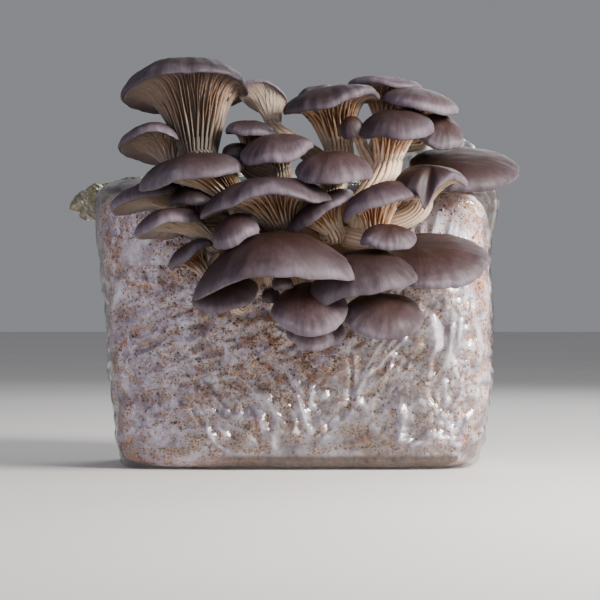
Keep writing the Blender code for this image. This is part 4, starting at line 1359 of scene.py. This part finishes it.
# Painted shadow and painted brown reflection along the foot, fainter on the sides
front_foot_shadow = smooth_step((8.5 - up) / 2.5) * smooth_step((across + 55) / 25)
side_foot_shadow = 0.4 * smooth_step((7.5 - up) / 3)
note(mesh, "foot_shadow", np.where(np.abs(across) > SIDE_START, side_foot_shadow, front_foot_shadow))
add_piece("substrate_grown", mesh, "substrate", ["substrate_block"], substrate)
print("block has", len(mesh.polygons), "faces")

# %% [markdown]
# ## Clear film
#
# The bag is thin clear polypropylene. Seen straight on it all but vanishes, and what shows is its gloss: thin
# bright lines on the folds, and a grey sheen where it stands off the block at the corners. So the shader lets
# most light straight through and adds gloss by the angle.

# %% Film material
CRINKLE_SCALE = 150.0         # crinkles of 7 mm
CREASE_SCALE = 130.0          # sharp creases 8 mm apart
FILM_IOR = 1.5                # of polypropylene


def film_surface(name, scale, detail, fall):
    """A film's material with no shader yet, and the place, the crinkles and the relief on it."""
    made, tree, shader = surface(name, 0.0)
    tree.nodes.remove(shader)
    place = add(tree, "TexCoord", out="Object")
    crinkle = add(tree, "TexNoise", {"Vector": place, "Scale": scale, "Detail": detail})
    relief = add(tree, "Bump", {"Height": crinkle, "Strength": 0.5, "Distance": fall})
    return made, tree, place, crinkle, relief


def film_gloss(tree, body, relief, roughness, gain):
    """Lays the film's gloss over its body, more of it where the film is seen from the side."""
    mirror = add(tree, "BsdfGlossy", {"Roughness": roughness, "Normal": relief})
    facing = add(tree, "Fresnel", {"IOR": FILM_IOR, "Normal": relief})
    shine = add(tree, "Math", {0: facing, 1: gain}, operation="MULTIPLY", use_clamp=True)
    whole = add(tree, "MixShader", {0: shine, 1: body, 2: mirror})
    tree.links.new(whole, tree.nodes["Material Output"].inputs["Surface"])


film, tree, place, crinkle, relief = film_surface("clear polypropylene film", CRINKLE_SCALE, 4.0, 0.0015)
sloped = add(tree, "Mapping", {
    "Vector": place, "Rotation": (0.0, 0.7, 0.0), "Scale": (0.35, 1.0, 1.0)})
creased = add(tree, "TexNoise", {"Vector": sloped, "Scale": CREASE_SCALE, "Detail": 3.0},
              noise_type="RIDGED_MULTIFRACTAL")
relief = add(tree, "Bump", {
    "Height": creased, "Strength": 0.35, "Distance": 0.0008, "Normal": relief})
haze = add(tree, "BsdfDiffuse", {"Color": linear("#dad6cb"), "Normal": relief})
clear = add(tree, "BsdfTransparent")
milky, foot = (add(tree, "Attribute", out="Fac", attribute_name=name) for name in ("milky", "foot"))
veil = add(tree, "Math", {0: milky, 1: 0.7, 2: 0.05}, operation="MULTIPLY_ADD")
body = add(tree, "MixShader", {0: veil, 1: clear, 2: haze})
gain = add(tree, "Math", {0: foot, 1: -1.6, 2: 2.0}, operation="MULTIPLY_ADD")
film_gloss(tree, body, relief, 0.12, gain)
print("made", film.name)

# %% Film over the block
FILM_STAND_OFF = 0.9          # film to mycelium on the flat walls, mm

mesh, row, side = turned_body("film", ROW_COUNT, WRAP_SIDES)
shell, across, up = wrapped_points(BAG_LEVELS, row, side)
calmer = np.where(np.abs(across) > FRONT_HALF, 0.2, 1.0)
wrinkles = noise_at(shell * (1, 1, 0.5), 0.12, 4) * 0.8
wrinkles += noise_at(shell * (1, 1, 0.6), 0.35, 5) * 0.45 * calmer
wrinkles[row >= FLOOR_ROW] = 0
height = folds * 0.9 + wrinkled * 0.8 + lumps + np.abs(wrinkles) * 0.7
film_points = shell + outward(shell, row) * (height - 0.6)[:, None]
# on the flat of each wall the film lies on the block, and at the corners it stands off
corner = smooth_step((np.abs(shell[:, 0] / HALF_WIDTH) * np.abs(shell[:, 1] / HALF_DEPTH) - 0.72) / 0.2)
hug = (1 - corner) * smooth_step((SHOULDER - up) / SHOULDER_RISE) * smooth_step((up - 2) / 7)
hugged = block_points + outward(tight, row) * (FILM_STAND_OFF + np.abs(wrinkles) * 0.7)[:, None]
film_points += (hugged - film_points) * hug[:, None]
film_points[:, 2] = np.maximum(film_points[:, 2], 0.0)
write_points(mesh, film_points * MM)
milky_shoulder = soft_spot(across, up, -92, 149, 24, 9) * (up > 120)
ripples = np.clip(noise_at(shell * (0.5, 0.5, 2), 0.12, 6) + 0.7, 0, 1)
note(mesh, "milky", np.clip(milky_shoulder * 1.2, 0, 1) * ripples + 0.1 * np.clip(folds, 0, 1))
note(mesh, "foot", smooth_step((10 - up) / 4))
add_piece("bag_film", mesh, "film", ["grow_bag"], film)
print("film has", len(mesh.polygons), "faces")

# %% [markdown]
# ## Loose end and folded corner of the bag
#
# The bag is longer than the block. Its open end is flattened and stands up behind the mushrooms as a doubled
# sheet, pleated and crumpled, and its corner sticks out at the left as a crushed ball. Both are the same film
# in many layers, so they look milky, and the corner is yellowed.

# %% Gathered film material
GATHERED_SCALE = 190.0        # crinkles of 5 mm

gathered, tree, place, crinkle, relief = film_surface("gathered milky film", GATHERED_SCALE, 5.0, 0.0014)
across_kit = add(tree, "SeparateXYZ", {"Vector": place}, out="X")
along = add(tree, "MapRange", {0: across_kit, 1: -0.112, 2: 0.1})
yellowed = add(tree, "ValToRGB", {"Fac": along}, stops=[
    (0.0, "#a39a66"), (0.1, "#b5ae88"), (0.2, "#cfccbf"), (1.0, "#c9cccc"),
])
milk = add(tree, "BsdfDiffuse", {"Color": yellowed, "Normal": relief})
glow = add(tree, "BsdfTranslucent", {"Color": yellowed, "Normal": relief})
milk = add(tree, "MixShader", {0: 0.35, 1: milk, 2: glow})
clear = add(tree, "BsdfTransparent")
cloudy = add(tree, "MapRange", {0: crinkle, 1: 0.35, 2: 0.65, 3: 0.25, 4: 0.75})
body = add(tree, "MixShader", {0: cloudy, 1: clear, 2: milk})
film_gloss(tree, body, relief, 0.16, 1.4)
print("made", gathered.name)

# %% Loose end
# Across, back and height of the edge of the loose end, mm
FLAP_EDGE = np.array([
    (-109.0, -6.0, 146.0),
    (-98.0, 6.0, 151.0),
    (-84.0, -2.0, 153.0),
    (-66.0, 10.0, 154.0),
    (-44.0, 5.0, 155.0),
    (-22.0, 14.0, 155.0),
    (0.0, 8.0, 157.0),
    (20.0, 16.0, 160.0),
    (38.0, 6.0, 165.0),
    (54.0, 12.0, 172.0),
    (68.0, 3.0, 175.0),
    (84.0, 10.0, 174.5),
    (93.0, 5.0, 170.0),
    (100.0, 8.0, 152.0),
])
FLAP_FOOT = 143.0             # height of its foot, mm
FLAP_LEAN = 3.0               # how far its edge leans to the front, mm
FLAP_LOFT = 1.2               # from the middle to each of its two layers, mm
FILM_THICKNESS = 0.15         # of each layer, mm


def creases(points, scale, seed):
    """Sharp ridges, 1 on a crease and 0 between, in no order."""
    return 1 - np.minimum(1, np.abs(noise_at(points, scale, seed)) * 3)


bm = bmesh.new()
bmesh.ops.create_grid(bm, x_segments=230, y_segments=64, size=1.0)
mesh = bpy.data.meshes.new("flap")
bm.to_mesh(mesh)
flat = read_points(mesh)
x = FLAP_EDGE[0, 0] + (flat[:, 0] + 1) / 2 * (FLAP_EDGE[-1, 0] - FLAP_EDGE[0, 0])
# -1 at the foot of the front layer, 0 on the edge and 1 at the foot of the back layer
over = flat[:, 1]
rise = 1 - np.abs(over) ** 2.2
pleat = np.interp(x, FLAP_EDGE[:, 0], FLAP_EDGE[:, 1])
high = np.interp(x, FLAP_EDGE[:, 0], FLAP_EDGE[:, 2])
y = pleat - FLAP_LEAN * rise + FLAP_LOFT * np.sin(over * math.pi / 2)
z = FLAP_FOOT + (high - FLAP_FOOT) * rise
points = np.stack([x, y, z], axis=1)
crumpled = creases(points * (1, 0.4, 0.7), 0.11, 21) * 1.5 + creases(points * (1, 0.4, 1), 0.25, 22) * 0.8
points[:, 1] += (crumpled - 1.2) * (0.3 + 0.7 * rise)
points[:, 2] -= (creases(points * (1, 0, 0), 0.1, 23) * 1.0 + 0.3) * rise
for vert, (px, py, pz) in zip(bm.verts, points):
    vert.co = Vector((px, py, pz)) * MM
bmesh.ops.recalc_face_normals(bm, faces=bm.faces)
bmesh.ops.solidify(bm, geom=bm.faces[:], thickness=FILM_THICKNESS * MM)
bm.to_mesh(mesh)
bm.free()
mesh.shade_smooth()
add_piece("bag_flap", mesh, "film", ["grow_bag"], gathered)
print("flap has", len(mesh.polygons), "faces")

# %% Folded corner
EAR_CENTRE = np.array([-107.5, -12.0, 136.5])
EAR_RADII = np.array([11.0, 13.0, 9.5])

bm = bmesh.new()
bmesh.ops.create_icosphere(bm, subdivisions=5, radius=1.0)
mesh = to_mesh("ear", bm)
unit = read_points(mesh)
slow = 1.6 * np.sin(5 * unit[:, 0] + 3 * unit[:, 2]) * np.cos(4 * unit[:, 1] + 2 * unit[:, 2])
folded = noise_at(unit, 1.7, 31) * 3.2 + creases(unit, 2.1, 33) * 0.9 + noise_at(unit, 4.0, 32) * 0.9 - 0.9
write_points(mesh, (EAR_CENTRE + unit * EAR_RADII + unit * (slow + folded)[:, None]) * MM)
add_piece("bag_ear", mesh, "film", ["grow_bag"], gathered)
print("ear has", len(mesh.polygons), "faces")

# %% Finish
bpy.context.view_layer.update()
faces = sum(len(thing.data.polygons) for thing in bpy.data.objects if thing.type == "MESH")
print("faces in the scene:", faces)
